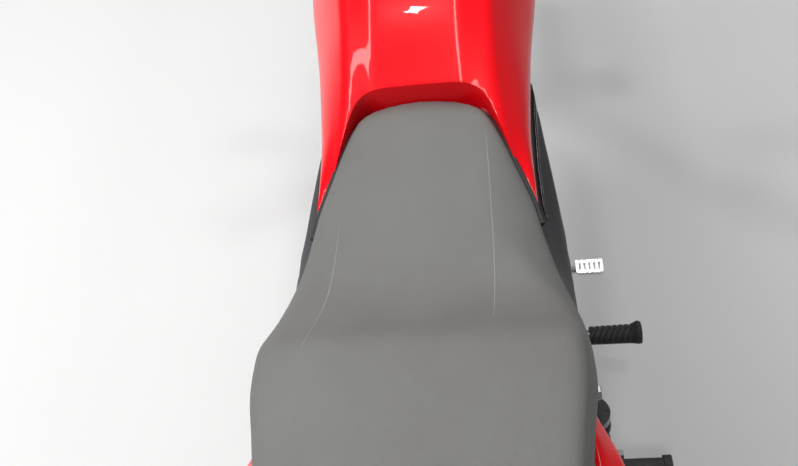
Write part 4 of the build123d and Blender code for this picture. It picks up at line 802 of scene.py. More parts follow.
def sided(place, side):
    """A place on the left side, or its mirror image on the right one."""
    x, y, z = place
    return Vector((x, side * y, z))


def landing(node, x, z, side):
    """Where a line from the machine's side first meets a node, with its outward normal."""
    thing = nodes.get(node) or bpy.data.objects[node]
    to_world = thing.matrix_world
    to_node = to_world.inverted() @ park
    start = to_node @ Vector((x, side * 500, z))
    ahead = (to_node.to_3x3() @ Vector((0, -side, 0))).normalized()
    hit, place, normal, _ = thing.ray_cast(start, ahead)
    to_upright = park.inverted() @ to_world
    if not hit:
        print("no surface at", node, x, z, side)
        return Vector((x, 0, z)), Vector((0, side, 0))
    return to_upright @ place, (to_upright.to_3x3() @ normal).normalized()


def oval(width, height, power=2.0, count=64):
    """A closed outline: an ellipse at power 2, squarer above it."""
    points = []
    for number in range(count):
        turn = 2 * math.pi * number / count
        c, s = math.cos(turn), math.sin(turn)
        points.append((math.copysign(abs(c) ** (2 / power), c) * width / 2,
                       math.copysign(abs(s) ** (2 / power), s) * height / 2))
    return points


def add_outline(mesh, centre, right, up, outline, profile):
    """A body whose rings scale an outline, from (depth, share) rows along right x up."""
    right, up = Vector(right).normalized(), Vector(up).normalized()
    ahead = right.cross(up).normalized()
    rings = [[Vector(centre) + ahead * depth + share * (right * a + up * b) for a, b in outline]
             for depth, share in profile]
    return grid_mesh(rings, mesh=mesh)


def hull_points(circles, directions):
    """Points round the hull of circles given as x, z and radius, one for each direction."""
    made = []
    for turn in directions:
        c, s = math.cos(turn), math.sin(turn)
        x, z, radius = max(circles, key=lambda row: row[0] * c + row[1] * s + row[2])
        made.append((x + radius * c, z + radius * s))
    return made


# Engine covers: side, depth of the bosses, circles as x, z and radius, directions of the bosses
engine_covers = [
    (-1, 21, [(598, 348, 92), (715, 352, 72)],
     [15, 55, 88, 94, 125, 160, 200, 235, 266, 273, 305, 340]),
    (1, 24, [(700, 352, 84)], [10, 62, 112, 165, 218, 268, 318]),
]
# Distance of the crankcase's sides from the machine's middle
case_face = 80


def cover_details():
    """Bosses, bolts and gaskets round the engine's covers."""
    bosses, gaskets, bolts = new_meshes(3)
    fine = [2 * math.pi * k / 96 for k in range(96)]
    for side, depth, circles, directions in engine_covers:
        profile = [(-2, 9.5), (depth - 3, 8.6), (depth - 1, 8), (depth, 6.8)]
        for x, z in hull_points(circles, [math.radians(turn) for turn in directions]):
            add_turned(bosses, (x, side * case_face, z), side * across, profile, 20)
            add_bolt(bolts, (x, side * (case_face + depth), z), side * across, 4.6)
        rings = []
        for reach, grown in ((-0.5, 2.0), (1.6, 2.0), (1.6, -3.0)):
            outline = hull_points([(x, z, r + grown) for x, z, r in circles], fine)
            rings.append([Vector((x, side * (case_face + reach), z)) for x, z in outline])
        grid_mesh(rings, mesh=gaskets)
    add_pieces("chassis", ("cover_bosses", bosses, "engine_alloy"),
               ("cover_gaskets", gaskets, "soft_rubber"), ("cover_bolts", bolts, "bare_steel"))


cover_details()


# Places that the tables of turned pieces, bolts and outlined pieces share
carburettor = on_cylinder(-106, 0, 124)
carburettor_back = -cylinder_along
plug_foot, plug_axis = on_cylinder(8, 60, 134), (0, 1, 0.15)
exhaust_start = Vector((360, -146, 222))
exhaust_along = Vector((-590, -12, 63)).normalized()
headlight_centre = Vector((1164.5, 0, 866.4))
caliper = Vector((1216.05, -75, 342.1))
valve_way = Vector((math.cos(0.9), 0, math.sin(0.9)))
valve_stem = [(0, 5), (3, 5), (4, 3.4), (16, 3.2), (16.5, 4), (25, 4), (26, 3)]
filler = Vector((748.5, 0, 910.4))
lid = Vector((748.5, 0, 920))
plate_top, plate_foot = Vector((-348.5, 0, 702)), Vector((-426.5, 0, 546))
plate_down = (plate_foot - plate_top).normalized()
plate_middle = (plate_top + plate_foot) / 2
plate_out = across.cross(plate_down)

# Turned pieces: name, finish, body, sides, then each shape's place, axis and profile
turned_pieces = [
    ("clutch_cap", "engine_alloy", "chassis", 48, ((598, -119.5, 348), -across, [
        (0, 58), (2.2, 57), (2.6, 52), (0.6, 50), (0.6, 34), (4, 31), (4.6, 26), (2.4, 24),
        (2.4, 8), (4, 6)])),
    ("oil_cap", "black_plastic", "chassis", 14,
     ((672, -113, 398), -across, [(0, 15), (5, 15), (6, 12), (12, 12), (15, 10.5)]),
     ((672, -127, 398), -across, [(0, 4), (5, 3.6), (6, 2)])),
    ("crank_plugs", "bright_alloy", "chassis", 32,
     ((700, 115, 352), across, [(0, 24), (3, 24), (4, 21), (4, 8), (1.5, 7.5)]),
     ((706, 115, 404), across, [(0, 14), (2.6, 14), (3.4, 12), (3.4, 5), (1.2, 4.6)])),
    ("drain_plug", "bare_steel", "chassis", 6,
     ((650, 0, 226), -upward, [(0, 14), (3, 14), (3.4, 10), (9, 10), (10, 8.6)])),
    ("head_fittings", "engine_alloy", "chassis", 36,
     (on_cylinder(0, 0, 187), cylinder_up, [(0, 22), (3, 22), (5, 19), (5, 8), (7, 6)]),
     (on_cylinder(68, 0, 118), cylinder_along, [(0, 27), (2, 33), (9, 33), (11, 27)]),
     (on_cylinder(-68, 0, 124), -cylinder_along, [(0, 27), (2, 31), (7, 31), (9, 26)])),
    ("plug_body", "bare_steel", "chassis", 6,
     (plug_foot, plug_axis, [(0, 13), (8, 13), (9, 9), (10, 10), (18, 10), (19, 8)])),
    ("plug_insulator", "plate_white", "chassis", 20, (plug_foot, plug_axis, [
        (17, 7), (19, 7), (24, 5.4), (40, 5), (42, 3.4), (47, 3.4), (48, 2.6)])),
    ("carburettor", "engine_alloy", "chassis", 32,
     (carburettor - carburettor_back * 18, carburettor_back, [
         (0, 24), (2, 27.5), (8, 27.5), (9, 25), (30, 25), (31, 28), (36, 28), (38, 25)]),
     (carburettor, -upward, [(8, 20), (22, 24), (24, 26.5), (28, 26.5), (30, 24), (46, 23),
                             (52, 18), (54, 9), (60, 8)]),
     (carburettor, upward, [(10, 19), (38, 19), (39, 22), (46, 22), (52, 14), (56, 13)]),
     (carburettor + Vector((0, 20, 6)), across, [(0, 12), (10, 11), (12, 6), (18, 5)]),
     (carburettor + Vector((0, -20, -4)), -across, [(0, 9), (8, 8), (9, 4), (16, 3.6)])),
    ("intake_clamps", "bare_steel", "chassis", 36, *[
        (carburettor + carburettor_back * reach, carburettor_back,
         [(0, 23), (0, 25.6), (9, 25.6), (9, 23)]) for reach in (-34, 26)]),
    ("muffler_collars", "exhaust_black", "chassis", 48,
     (exhaust_start, exhaust_along, [(-16, 18), (-15, 21), (2, 21), (3, 18)]),
     (exhaust_start, exhaust_along, [(98, 45), (100, 48), (108, 48), (110, 45)]),
     (exhaust_start, exhaust_along, [(528, 45), (530, 48), (538, 48), (540, 45)])),
    ("muffler_tip", "bright_chrome", "chassis", 40, (exhaust_start, exhaust_along, [
        (556, 14), (557, 20), (598, 19), (600, 17.5), (598, 15), (574, 13)])),
    ("headlight_bulb", "bright_alloy", "steering", 28, (headlight_centre + 2 * forward, forward, [
        (0, 11), (4, 11), (5, 7), (14, 7), (17, 5.4), (18, 2)])),
    ("fork_seals", "soft_rubber", "steering", 36, *[
        (on_steering(48, y, 328), axis_up, [(0, 21), (2, 22.5), (8, 22.5), (9, 20), (11, 20),
                                            (12, 18.5), (15, 17.5), (15, 16)])
        for y in (92, -92)]),
    ("fork_caps", "bright_alloy", "steering", 24, *[
        (on_steering(48, y, 744), axis_up, [
            (0, 17), (3, 17), (4.5, 15), (5, 11), (9, 10.4), (10, 9)]) for y in (92, -92)]),
    ("stem_nut", "bright_chrome", "steering", 6, (on_steering(0, 0, 744), axis_up, [
        (0, 19), (2, 19), (2.6, 15), (11, 15), (12.6, 12), (12.6, 6), (9, 5)])),
    ("ignition_lock", "bare_steel", "steering", 32, (on_steering(30, 0, 741), axis_up, [
        (0, 15), (7, 15), (8.4, 13.4), (8.4, 9), (6.6, 8.4), (6.6, 3)])),
    ("caliper_pistons", "bare_steel", "steering", 32, *[
        (caliper + Vector((0, 0.5, lift)), -across, [
            (0, 16.5), (1.4, 16.5), (2.2, 15), (2.2, 11), (1, 10), (1, 4)])
        for lift in (-18, 18)]),
    ("bleed_nipple", "bright_alloy", "steering", 12, (caliper + Vector((8, 14, 38)), upward, [
        (0, 5), (3, 5), (3.4, 3.4), (9, 3.2), (10, 4), (12, 3)])),
    ("front_valve", "soft_rubber", "front_wheel", 16,
     (front_hub + valve_way * 217, -valve_way, valve_stem)),
    ("rear_valve", "soft_rubber", "rear_wheel", 16,
     (rear_hub + valve_way * 217, -valve_way, valve_stem)),
    ("chain_adjusters", "bare_steel", "chassis", 6, *[
        ((-38, y, 312), -forward, [(0, 8), (1.6, 8), (2, 7), (8, 7), (8.6, 5), (26, 5), (27, 4)])
        for y in (100, -100)]),
    ("filler_flange", "bright_alloy", "chassis", 64, (filler, upward, [
        (-14, 47), (-1.6, 46.4), (0, 44.6), (0, 32), (-2.6, 30), (-2.6, 20), (-14, 20)])),
    ("filler_neck", "gloss_black", "chassis", 48, (filler, upward, [
        (-14, 20.2), (-2.2, 20.2), (-1.2, 18), (-3.4, 16), (-3.4, 0.1)])),
    ("cap_rim", "bright_chrome", "fuel_cap", 56, (lid, upward, [
        (-2, 33), (0.6, 33), (1.4, 31), (0.6, 28.6), (-1, 28)])),
    ("key_cover", "gloss_black", "fuel_cap", 32, (lid - 14 * forward, upward, [
        (-1, 9.6), (2, 9.6), (3.2, 8), (3.2, 2)])),
    ("plate_reflector", "red_lens", "chassis", 40,
     (plate_middle + plate_down * 70 + plate_out * 0.2, plate_out, [
         (0, 13), (3, 13), (4, 11.6), (4.4, 5)])),
]
for name, finish, body, sides, *shapes in turned_pieces:
    mesh = bmesh.new()
    for place, axis, profile in shapes:
        add_turned(mesh, place, axis, profile, sides)
    add_piece(name, mesh, finish, body)

# Bolts: name, body, whether mirrored, then each group's axis, size, kind and places
bolt_pieces = [
    ("sprocket_cover_bolts", "chassis", False,
     (across, 4.6, "dome", [(494, 95.6, 284), (494, 95.6, 390), (602, 95.6, 276)])),
    ("engine_mount_bolts", "chassis", True, (across, 7, "hex", [(828, 12, 436)])),
    ("head_nuts", "chassis", False,
     (cylinder_up, 6.5, "hex", [on_cylinder(x, y, 178) for x in (-44, 44) for y in (-41, 41)]),
     (cylinder_up, 3.6, "dome", [on_cylinder(x, y, 187.6) for x in (-27, 27)
                                 for y in (-29, 29)]),
     (cylinder_along, 5.4, "hex", [on_cylinder(79, y, 118) for y in (-25, 25)])),
    ("carburettor_screws", "chassis", False, (-upward, 2.6, "dome", [
        carburettor + Vector((x, y, -24)) for x in (-18, 18) for y in (-18, 18)])),
    ("bar_clamp_bolts", "steering", True,
     (upward, 4, "dome", [(919.2, 45.5, 1002.4), (953.2, 45.5, 1002.4)])),
    ("mudguard_bolts", "steering", True,
     (across, 4, "hex", [(1214, 56.5, 528), (1222, 56.5, 544)])),
    ("caliper_bolts", "steering", False,
     (-across, 4.2, "hex", [caliper + Vector((-16, 0.4, lift)) for lift in (-33, 33)])),
    ("disc_bolts", "front_wheel", False,
     (-across, 4.4, "dome", circle(front_hub - 55 * across, forward, upward, 38, 5, 90))),
    ("sprocket_bolts", "rear_wheel", False,
     (across, 4, "hex", circle(rear_hub + 78 * across, forward, upward, 40, 6))),
    ("shock_nuts", "chassis", True, (across, 8, "hex", [(150, 169, 620), (30, 169, 330)])),
    ("hanger_bolts", "chassis", True, (across, 6, "hex", [(440, 128, 418), (440, 128, 330)])),
    ("chain_guard_bolts", "chassis", False,
     (across, 4, "dome", [(60, 89, 420), (330, 89, 395)])),
    ("muffler_bolt", "chassis", False, (-across, 6, "hex", [(190, -187, 388)])),
    ("grab_rail_bolts", "chassis", True, (upward, 5.4, "dome", [(-292, 26, 829)])),
    ("cap_screws", "chassis", False,
     (upward, 2.4, "dome", circle(filler, forward, across, 41.5, 5, 36))),
    ("plate_bolts", "chassis", True,
     (plate_out, 4.2, "dome", [plate_middle - plate_down * 62 + plate_out * 0.2 + across * 62])),
]
for name, body, mirrored, *groups in bolt_pieces:
    mesh = bmesh.new()
    for axis, size, kind, places in groups:
        for side in ((1, -1) if mirrored else (1,)):
            for place in places:
                add_bolt(mesh, sided(place, side), sided(axis, side), size, kind)
    add_piece(name, mesh, "bare_steel", body)


def heat_shield_details():
    """Ribs and bolts on the exhaust's heat shield."""
    ribs, bolts = new_meshes(2)
    out = -across + exhaust_along * across.dot(exhaust_along)
    out.normalize()
    rise = exhaust_along.cross(out)
    for number in range(6):
        centre = exhaust_start + exhaust_along * (210 + 20 * number)
        arc = [centre + 51.2 * (math.cos(turn) * out + math.sin(turn) * rise)
               for turn in (math.radians(-38 + 76 * k / 12) for k in range(13))]
        add_tube(ribs, arc, 1.7, 8)
    for reach in (178, 344):
        for turn in (-0.9, 0.9):
            way = math.cos(turn) * out + math.sin(turn) * rise
            add_bolt(bolts, exhaust_start + exhaust_along * reach + way * 50.4, way, 4.4)
    add_pieces("chassis", ("heat_shield_ribs", ribs, "bright_chrome"),
               ("heat_shield_bolts", bolts, "bare_steel"))


heat_shield_details()


# Chain: its pitch, and each sprocket's place along, height and radius
chain_pitch = 12.7
rear_sprocket, front_sprocket = (0, 312, 89), (530, 335, 30.5)


def chain_details():
    """Pin heads and outer plates on the links of the chain's loop."""
    rear, front = rear_sprocket, front_sprocket
    slope = math.atan2(front[1] - rear[1], front[0])
    span = math.hypot(front[0], front[1] - rear[1])
    top = slope + math.pi / 2 - math.asin((rear[2] - front[2]) / span)
    line = [(rear[2] * math.cos(top), rear[1] + rear[2] * math.sin(top))]
    line += hull_points([front, rear], [top - 2 * math.pi * k / 720 for k in range(1, 720)])
    line = [Vector((x, 0, z)) for x, z in [*line, line[0]]]
    count = round(sum((b - a).length for a, b in zip(line, line[1:])) / chain_pitch)
    pins = spaced(line, count + 1)[:-1]
    outline = [(math.copysign(6.35 + 5.2 * abs(c) ** 0.9, c) if abs(c) > 0.2 else 9 * c,
                s * (3.4 + 1.9 * min(abs(c) * 1.6, 1)))
               for c, s in ((math.cos(math.pi * k / 10), math.sin(math.pi * k / 10))
                            for k in range(20))]
    heads, plates = new_meshes(2)
    for side, y in ((1, 82), (-1, 68)):
        for number, pin in enumerate(pins):
            spot = pin + y * across
            add_turned(heads, spot, side * across, [(0, 3.4), (2.1, 3.4), (2.7, 2.4)], 10)
            if number % 2:
                continue
            far = pins[(number + 1) % count] + y * across
            ahead = (far - spot).normalized()
            add_outline(plates, (spot + far) / 2, ahead, ahead.cross(side * across), outline,
                        [(0.5, 1), (-1.2, 1)])
    add_pieces("chassis", ("chain_pins", heads, "bare_steel"),
               ("chain_plates", plates, "chain_steel"))


chain_details()


# Outlined pieces: name, finish, body, hidden nodes, then centre, right, up, outline and profile
lamp_outline = oval(154, 146, 3.2, 96)
glass_cap = [(2, 0.99), (22, 0.965), (29, 0.93), (33.5, 0.86), (36, 0.78), (36.8, 0.6),
             (37.2, 0.3), (37.3, 0.02)]
glass_inside = [(depth - 3, share * 0.95) for depth, share in reversed(glass_cap)]
tail_centre = Vector((-334.3, 0, 782))
mirror_outline = oval(139, 86, 2.2, 72)
mirror_frames = []
for side in (1, -1):
    face = Vector((-1, side * 0.1, 0.05)).normalized()
    right = upward.cross(face).normalized()
    mirror_frames.append(((870.2, side * 322, 1102.4), right, face.cross(right), mirror_outline))
headlight_frame = (headlight_centre, across, upward, lamp_outline)
clamp_outline = oval(50, 22, 5, 48)
outlined_pieces = [
    ("headlight_glass", "clear_lens", "steering", ["headlight_lens"],
     (*headlight_frame, glass_cap + glass_inside)),
    ("headlight_bowl", "bright_chrome", "steering", (), (*headlight_frame, [
        (20, 0.94), (17, 0.86), (11, 0.66), (6, 0.42), (3, 0.2), (2.6, 0.12), (1.6, 0.12),
        (1.6, 0.95), (20, 0.96), (20, 0.94)])),
    ("headlight_trim", "gloss_black", "steering", (), (*headlight_frame, [
        (0, 0.9), (0, 1.03), (6, 1.035), (9, 1.02), (9, 0.985), (3, 0.97), (3, 0.9)])),
    ("tail_light_trim", "gloss_black", "chassis", (),
     (tail_centre, -across, upward, oval(84, 60, 4, 72), [
         (-3, 0.9), (-3, 1.06), (5, 1.06), (7, 1.03), (7, 0.985), (0, 0.95)])),
    ("tail_light_rim", "red_lens", "chassis", (),
     (tail_centre + Vector((-25.2, 0, 1.8)), -across, upward, oval(67, 44, 4, 60), [
         (0, 0.96), (1.4, 0.96), (2, 0.92), (2, 0.84), (1.2, 0.82)])),
    ("mirror_glass", "bright_chrome", "steering", (), *[(*frame, [
        (-1, 0.93), (0.9, 0.93), (1.3, 0.9), (1.7, 0.5), (1.8, 0.02)])
        for frame in mirror_frames]),
    ("mirror_rims", "gloss_black", "steering", (), *[(*frame, [
        (-2, 0.94), (-2, 1.01), (1.5, 1.02), (2.8, 0.985), (2.4, 0.95), (0, 0.93)])
        for frame in mirror_frames]),
    ("bar_clamp_caps", "bright_alloy", "steering", (), *[
        ((936.2, y, 984.4), forward, across, clamp_outline,
         [(1, 0.96), (2, 1), (15.5, 1), (18, 0.94), (18.4, 0.8)]) for y in (45.5, -45.5)]),
    ("plate_border", "gloss_black", "chassis", (),
     (plate_middle, -across, -plate_down, oval(182, 166, 9, 96), [
         (-0.5, 0.99), (0.9, 0.99), (0.9, 0.955), (-0.5, 0.955), (-0.5, 0.99)])),
]

# Ribs of the lamps and the key slot's bar: piece, radius, sides and line
lamp_ribs = [("headlight_glass", 1.6, 8, [
    headlight_centre + Vector((33.2, 9.4 * k, share * (44 - abs(k) * 3.2)))
    for share in (-1, -0.5, 0, 0.5, 1)]) for k in range(-5, 6)]
lamp_ribs += [("tail_light_ribs", 1.3, 8, [
    tail_centre + Vector((-26.4, 7.2 * k, 1.6 + share * (21 - abs(k) * 1.1)))
    for share in (-1, 0, 1)]) for k in range(-4, 5)]
lamp_ribs += [("key_slot_bar", 1.4, 10, [lid + Vector((-14, y, 3)) for y in (-6, 6)])]
outlined_pieces += [("tail_light_ribs", "red_lens", "chassis", ()),
                    ("key_slot_bar", "bright_chrome", "fuel_cap", ())]
for name, finish, body, hidden, *shapes in outlined_pieces:
    mesh = bmesh.new()
    for shape in shapes:
        add_outline(mesh, *shape)
    for owner, radius, sides, line in lamp_ribs:
        if owner == name:
            add_tube(mesh, line, radius, sides)
    add_piece(name, mesh, finish, body, hidden)

# Indicators: place of the left one, half sizes, where its stem starts, body and CAD node
indicators = [
    ("front", (1042.2, 186, 805.8), (26, 23, 19), on_steering(54, 109.5, 596), "steering"),
    ("rear", (-318, 136, 706), (27, 25, 19), Vector((-316, 58.6, 704)), "chassis"),
]


def ribbed_sleeve(length):
    """Along and radius of a rubber stem cover with rings moulded round it."""
    profile = [(0, 0.1), (0, 8.2), (3, 9.2)]
    pitch = (length - 12) / 6
    for number in range(6):
        begin = 4 + number * pitch
        profile += [(begin, 9.0), (begin + pitch * 0.4, 7.8), (begin + pitch * 0.6, 9.0)]
    return profile + [(length - 6, 9.8), (length - 2, 11.2), (length + 4, 11.2),
                      (length + 4, 0.1)]


def indicator(name, place, half, stem_start, body):
    """A pair of indicators: ribbed amber lens, black back and rubber stem cover."""
    lens, backs, sleeves = new_meshes(3)
    face = forward if body == "steering" else -forward
    right = upward.cross(face)
    deep, wide, high = half
    outline = oval(2 * wide, 2 * high, 2.2, 48)
    for side in (1, -1):
        centre = sided(place, side)
        add_outline(lens, centre, right, upward, outline, [
            (2, 0.1), (2, 0.995), (deep * 0.4, 0.93), (deep * 0.7, 0.73), (deep * 0.9, 0.45),
            (deep + 0.6, 0.02)])
        add_outline(backs, centre, right, upward, outline, [
            (-deep, 0.02), (-deep * 0.93, 0.38), (-deep * 0.72, 0.7), (-deep * 0.4, 0.92),
            (-3, 1.0), (-2.5, 1.04), (1.8, 1.045), (2.6, 1.02), (2.6, 0.1)])
        for number in (-2, -1, 0, 1, 2):
            reach = math.sqrt(1 - (number / 3.2) ** 2)
            arc = [centre + face * deep * math.cos(turn) * reach
                   + upward * high * math.sin(turn) * reach + right * wide * number / 3.2
                   for turn in (math.radians(-62 + 124 * k / 8) for k in range(9))]
            add_tube(lens, arc, 0.9, 6)
        start = sided(stem_start, side)
        reach = (centre - start).length - wide + 3
        add_turned(sleeves, start, centre - start, ribbed_sleeve(reach), 20)
        if body == "steering":
            add_turned(backs, on_steering(48, side * 92, 588), axis_up, [
                (0, 16.4), (0, 20.5), (1, 21.5), (17, 21.5), (18, 20.5), (18, 16.4), (0, 16.4)],
                40)
            add_bolt(backs, on_steering(27, side * 92, 597), -axis_forward, 4, "hex")
    add_pieces(body, (f"{name}_indicator_lenses", lens, "amber_lens", [f"{name}_indicators"]),
               (f"{name}_indicator_backs", backs, "black_plastic"),
               (f"{name}_indicator_sleeves", sleeves, "soft_rubber"))


for row in indicators:
    indicator(*row)


# Crankcase: its joint and the bolts round its edge, as place along, height and sides
case_outline = [(500, 236), (600, 224), (770, 232), (808, 290), (808, 420)]
case_bolts = [(505, 258, "right"), (640, 238, "both"), (760, 244, "both"), (796, 300, "both"),
              (796, 405, "both"), (535, 432, "right")]


def crankcase_details():
    joint, bosses, bolts = new_meshes(3)
    add_tube(joint, spaced(rounded([(x, 0, z) for x, z in case_outline], 2), 90), 2.6, 8)
    for number in range(5):
        y = -56 + 28 * number
        add_tube(joint, [Vector((808.4, y, z)) for z in (304, 340, 376, 408)], 2.8, 8)
        add_tube(joint, [Vector((x, y, 225 + (x - 600) * 0.047)) for x in (624, 670, 716, 756)],
                 2.8, 8)
    for x, z, sides in case_bolts:
        for side in ((-1,) if sides == "right" else (-1, 1)):
            add_turned(bosses, (x, side * case_face, z), side * across,
                       [(-3, 10.5), (2.6, 9.6), (3.4, 8.6)], 24)
            add_bolt(bolts, (x, side * 83, z), side * across, 4.4)
    add_pieces("chassis", ("case_ribs", joint, "engine_alloy"),
               ("case_bosses", bosses, "engine_alloy"), ("case_bolts", bolts, "bare_steel"))


crankcase_details()


# Instruments: two dials with rims, ticks and needles in a shaded face
def instrument_face():
    place = on_steering(114, 0, 778)
    rims, faces, ticks, lights = new_meshes(4)
    add_outline(faces, place, axis_forward, across, oval(58, 158, 5, 72),
                [(-1, 0.99), (1.2, 0.99), (2, 0.96)])
    for side in (1, -1):
        centre = place + across * side * 40
        for mesh, profile, sides in (
                (rims, [(1, 28.5), (5.4, 28.2), (6.4, 27), (6.4, 25.4), (3, 24.6)], 48),
                (rims, [(2, 4), (4.6, 3.8), (5.2, 2.6)], 20),
                (faces, [(1, 25), (2.8, 25), (3, 24.4)], 48)):
            add_turned(mesh, centre, axis_up, profile, sides)
        for number in range(21):
            turn = math.radians(-132 + 264 * number / 20)
            out = axis_forward * math.cos(turn) + across * math.sin(turn)
            start = 20.6 if number % 2 else 18.2
            add_tube(ticks, [centre + axis_up * 3.1 + out * reach for reach in (start, 23.4)],
                     0.45, 6)
        turn = math.radians(-118 if side > 0 else -132)
        out = axis_forward * math.cos(turn) + across * math.sin(turn)
        add_tube(ticks, [centre + axis_up * 4 + out * reach for reach in (-4, 18)],
                 lambda k: (0.9, 0.35)[k], 6)
    for number in range(4):
        add_turned(lights, place + axis_forward * (-16 + 11 * number), axis_up,
                   [(0, 3.6), (3.4, 3.4), (4.4, 2)], 20)
    add_pieces("steering", ("dial_rims", rims, "bright_chrome"),
               ("dial_faces", faces, "gloss_black"), ("dial_ticks", ticks, "plate_white"),
               ("warning_lamps", lights, "amber_lens"))


instrument_face()


# Grips, levers and switches on the bars, as (along, radius) rows
grip_profile = [(-6, 11.5), (-6, 17), (-5, 19.3), (-2, 19.5), (0, 17)]
for number in range(14):
    rib_start = 1.4 + 4.8 * number
    grip_profile += [(rib_start, 15.4), (rib_start + 1.2, 16.5), (rib_start + 3.2, 16.5)]
grip_profile += [(68, 16), (69, 20.3), (71.6, 20.3), (72, 19), (72, 11.5), (-6, 11.5)]
housing_profile = [(0.2, 11.5), (0.2, 21), (2, 23), (11.6, 23), (12.2, 22), (13.8, 22),
                   (14.4, 23), (24, 23), (25.8, 21), (25.8, 11.5), (0.2, 11.5)]
# Hand lever: place along the bar, forwards and up from its pivot, and then its radii
lever_line = [(-10, 0, 0), (20, 0, 0), (60, -1, -1), (100, -5, -4), (128, -8, -6)]
lever_sizes = [6.5, 6.2, 5.2, 5.2, 5.4]


def bar_controls():
    """Grips, bar ends, switch housings, levers, buttons and the brake's reservoir."""
    grips, ends, housings, screws, levers, buttons, reservoir = new_meshes(7)
    for side in (1, -1):
        outer = Vector((740.2, side * 360, 1028.4))
        inward = (Vector((808.2, side * 240, 1031.4)) - outer).normalized()
        out = -inward
        start = outer + inward * 72.3
        arm = start + inward * 13
        knuckle = arm + Vector((46, side * 6, 2))
        line = [knuckle + out * along + Vector((x, 0, z)) for along, x, z in lever_line]
        tip = line[-1]
        pivot = Vector((0.05, 0, 1))
        for mesh, place, axis, profile, sides in (
                (grips, outer, inward, grip_profile, 36),
                (ends, outer, inward, [(-8, 9), (-9.5, 12), (-9.5, 15), (-6, 16.5), (-6, 10)], 28),
                (housings, start, inward, housing_profile, 36),
                (housings, arm + (knuckle - arm) * 0.3, knuckle - arm,
                 [(0, 9.4), (30, 9), (34, 10.5), (38, 8)], 24),
                (levers, tip - out * 7, out,
                 [(0, 3), (1.5, 6), (5, 7.7), (9, 7.7), (12.5, 6), (14.5, 2)], 20),
                (housings, knuckle - pivot * 11, pivot, [(0, 9), (1, 10.5), (7, 10.8), (7.6, 8)],
                 24),
                (housings, knuckle + pivot * 4, pivot, [(0, 8), (0.6, 10.8), (6, 10.5), (7, 9)],
                 24)):
            add_turned(mesh, place, axis, profile, sides)
        add_tube(levers, spaced(rounded(line, 2), 24), lambda k: lever_sizes[min(4, k // 5)], 14)
        add_bolt(levers, knuckle + pivot * 10.6, pivot, 4.2, "hex")
        back = Vector((-0.85, 0, 0.2)).normalized()
        for number, size in enumerate((4.2, 3.4, 4.2)):
            add_turned(buttons, start + inward * (5 + 8 * number) + back * 21.5, back,
                       [(0, size), (3.4, size), (4.2, size * 0.8)], 18)
        for along in (6, 20):
            add_bolt(screws, start + inward * along - upward * 21.5, -upward, 2.8)
    # The reservoir stands on the right side's arm, the last one made
    cup = arm + Vector((14, 0, 22))
    add_outline(reservoir, cup, forward, across, oval(34, 40, 4, 48), [
        (-6, 0.7), (-4, 0.92), (14, 0.96), (14.4, 1.03), (19, 1.03), (21, 0.95), (21.4, 0.6)])
    for x, y in ((-12, -14), (12, 14)):
        add_bolt(screws, cup + Vector((x, y, 21)), upward, 2.4)
    add_pieces("steering", ("grip_ribs", grips, "soft_rubber", ["grips"]),
               ("bar_ends", ends, "bright_alloy"),
               ("control_housings", housings, "black_plastic", ["control_levers"]),
               ("control_screws", screws, "bare_steel"), ("hand_levers", levers, "bright_alloy"),
               ("switch_buttons", buttons, "gloss_black"),
               ("brake_reservoir", reservoir, "black_plastic"))


bar_controls()


def louvres_and_knobs():
    """Louvres on the shrouds and the knobs that hold the side covers."""
    slots, knobs = new_meshes(2)
    bpy.context.view_layer.update()
    for side in (1, -1):
        for number in range(4):
            line = []
            for share in (0.0, 0.25, 0.5, 0.75, 1.0):
                place, normal = landing("shrouds", 794 + 24 * number - 10 * share,
                                        660 + 34 * share, side)
                line.append(place + normal * 0.6)
            add_tube(slots, line, lambda k: (1.2, 2.4, 2.6, 2.4, 1.2)[k], 10)
        for x, z in ((310, 630), (470, 610)):
            add_turned(knobs, *landing("side_cover_skins", x, z, side),
                       [(-1, 8), (1.6, 8), (2.6, 6.4), (2.6, 4), (1, 3.6)], 24)
    add_pieces("chassis", ("shroud_louvres", slots, "gloss_black"),
               ("cover_knobs", knobs, "black_plastic"))


louvres_and_knobs()


# Front mudguard: a smooth skin with rolled edges over the CAD's, as y and radius
mudguard_section = [(56.3, 294), (56.3, 316), (54.8, 324), (49, 331.4), (39, 336.8), (22, 339.6),
                    (0, 340.4)]
mudguard_ends = (-66.4, 58.4)


def front_mudguard():
    def at(turn, y, radius):
        turn = math.radians(turn)
        return front_hub + Vector((radius * math.sin(turn), y, radius * math.cos(turn)))

    low, high = mudguard_ends
    mesh = bmesh.new()
    outer = mudguard_section + [(-y, radius) for y, radius in reversed(mudguard_section[:-1])]
    outer = [(point.y, point.z) for point in
             spaced(rounded([(0, y, radius) for y, radius in outer], 2), 40)]
    inner = [(y * 0.965, radius - (1.8 if abs(y) < 50 else 0)) for y, radius in reversed(outer)]
    turns = [low + (high - low) * k / 90 for k in range(91)]
    grid_mesh([[at(turn, y, radius) for y, radius in outer + inner] for turn in turns], mesh=mesh)
    for side in (1, -1):
        add_tube(mesh, [at(turn, side * 54.6, 294) for turn in turns], 2.5, 8)
    for turn in mudguard_ends:
        add_tube(mesh, [at(turn, y * 0.98, radius - 1) for y, radius in outer], 2.2, 8)
    add_piece("front_mudguard_skin", mesh, "red_paint", "steering", (), 50)


front_mudguard()


# Floor, light and camera
def plain(name, colour):
    """A matte backdrop material."""
    made, tree, shader, place = new_material(name)
    clouds = noise_texture(tree, place, 3, 3)
    set_inputs(shader, Base_Color=ramp(tree, clouds, [(0.3, colour),
                                                      (0.7, [c * 1.01 for c in colour])]),
               Roughness=0.9, Specular_IOR_Level=0.1)
    return made


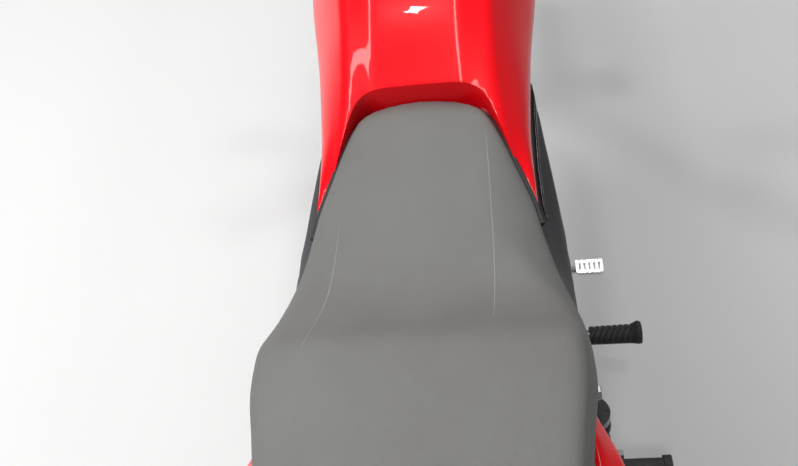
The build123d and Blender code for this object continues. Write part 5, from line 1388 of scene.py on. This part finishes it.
floor_half = 14.0
floor_mesh = bpy.data.meshes.new("floor")
floor_mesh.from_pydata([(floor_half * x, floor_half * y, 0) for x, y in (
    (-1, -1), (1, -1), (1, 1), (-1, 1))], [], [(0, 1, 2, 3)])
floor = bpy.data.objects.new("floor", floor_mesh)
floor.data.materials.append(plain("floor_white", (0.8, 0.8, 0.79)))
bpy.context.scene.collection.objects.link(floor)

world_colour, world_strength = (0.93, 0.95, 1.0, 1), 0.23
world = bpy.data.worlds.new("studio")
world.use_nodes = True
set_inputs(world.node_tree.nodes["Background"], Color=world_colour, Strength=world_strength)
bpy.context.scene.world = world

lamps = [
    # name, place, aim, width, depth, power, seen in reflections
    ("key", (-0.9, 1.7, 2.8), (0.0, 0.0, 0.6), 1.6, 1.6, 51, False),
    ("glint", (0.02, 0.4, 2.7), (-0.1, 0.1, 0.8), 0.14, 0.14, 7, True),
    ("fill", (1.6, -2.6, 2.6), (0.1, 0.0, 0.5), 2.4, 2.4, 3, False),
    ("strip_left", (0.9, 1.6, 2.7), (0.9, 1.6, 0.0), 4.4, 0.2, 38, True),
    ("strip_right", (0.9, -0.15, 2.7), (0.9, -0.15, 0.0), 4.4, 0.16, 26, True),
]
for name, place, aim, width, depth, power, mirrored in lamps:
    data = bpy.data.lights.new(name, "AREA")
    data.shape = "RECTANGLE"
    data.size = width
    data.size_y = depth
    data.energy = power
    lamp = bpy.data.objects.new(name, data)
    lamp.location = place
    lamp.rotation_euler = (Vector(aim) - Vector(place)).to_track_quat("-Z", "Y").to_euler()
    lamp.visible_glossy = mirrored
    bpy.context.scene.collection.objects.link(lamp)

# Camera: the picture's width and focal length in pixels, its place, its tilt down and its turn
picture_width, focal_length, sensor_width = 798, 950, 36
camera_place = Vector((-0.3007, 0.1255, 1.5800))
camera_down, camera_turn = math.radians(55), math.radians(0.75)
camera_data = bpy.data.cameras.new("camera")
camera_data.sensor_width = sensor_width
camera_data.lens = focal_length / picture_width * sensor_width
camera = bpy.data.objects.new("camera", camera_data)
camera.location = camera_place + park.translation
look = Vector((math.cos(camera_down) * math.cos(camera_turn),
               math.cos(camera_down) * math.sin(camera_turn), -math.sin(camera_down)))
camera.rotation_euler = look.to_track_quat("-Z", "Y").to_euler()
bpy.context.scene.collection.objects.link(camera)
bpy.context.scene.camera = camera
bpy.context.scene.view_settings.view_transform = "Standard"
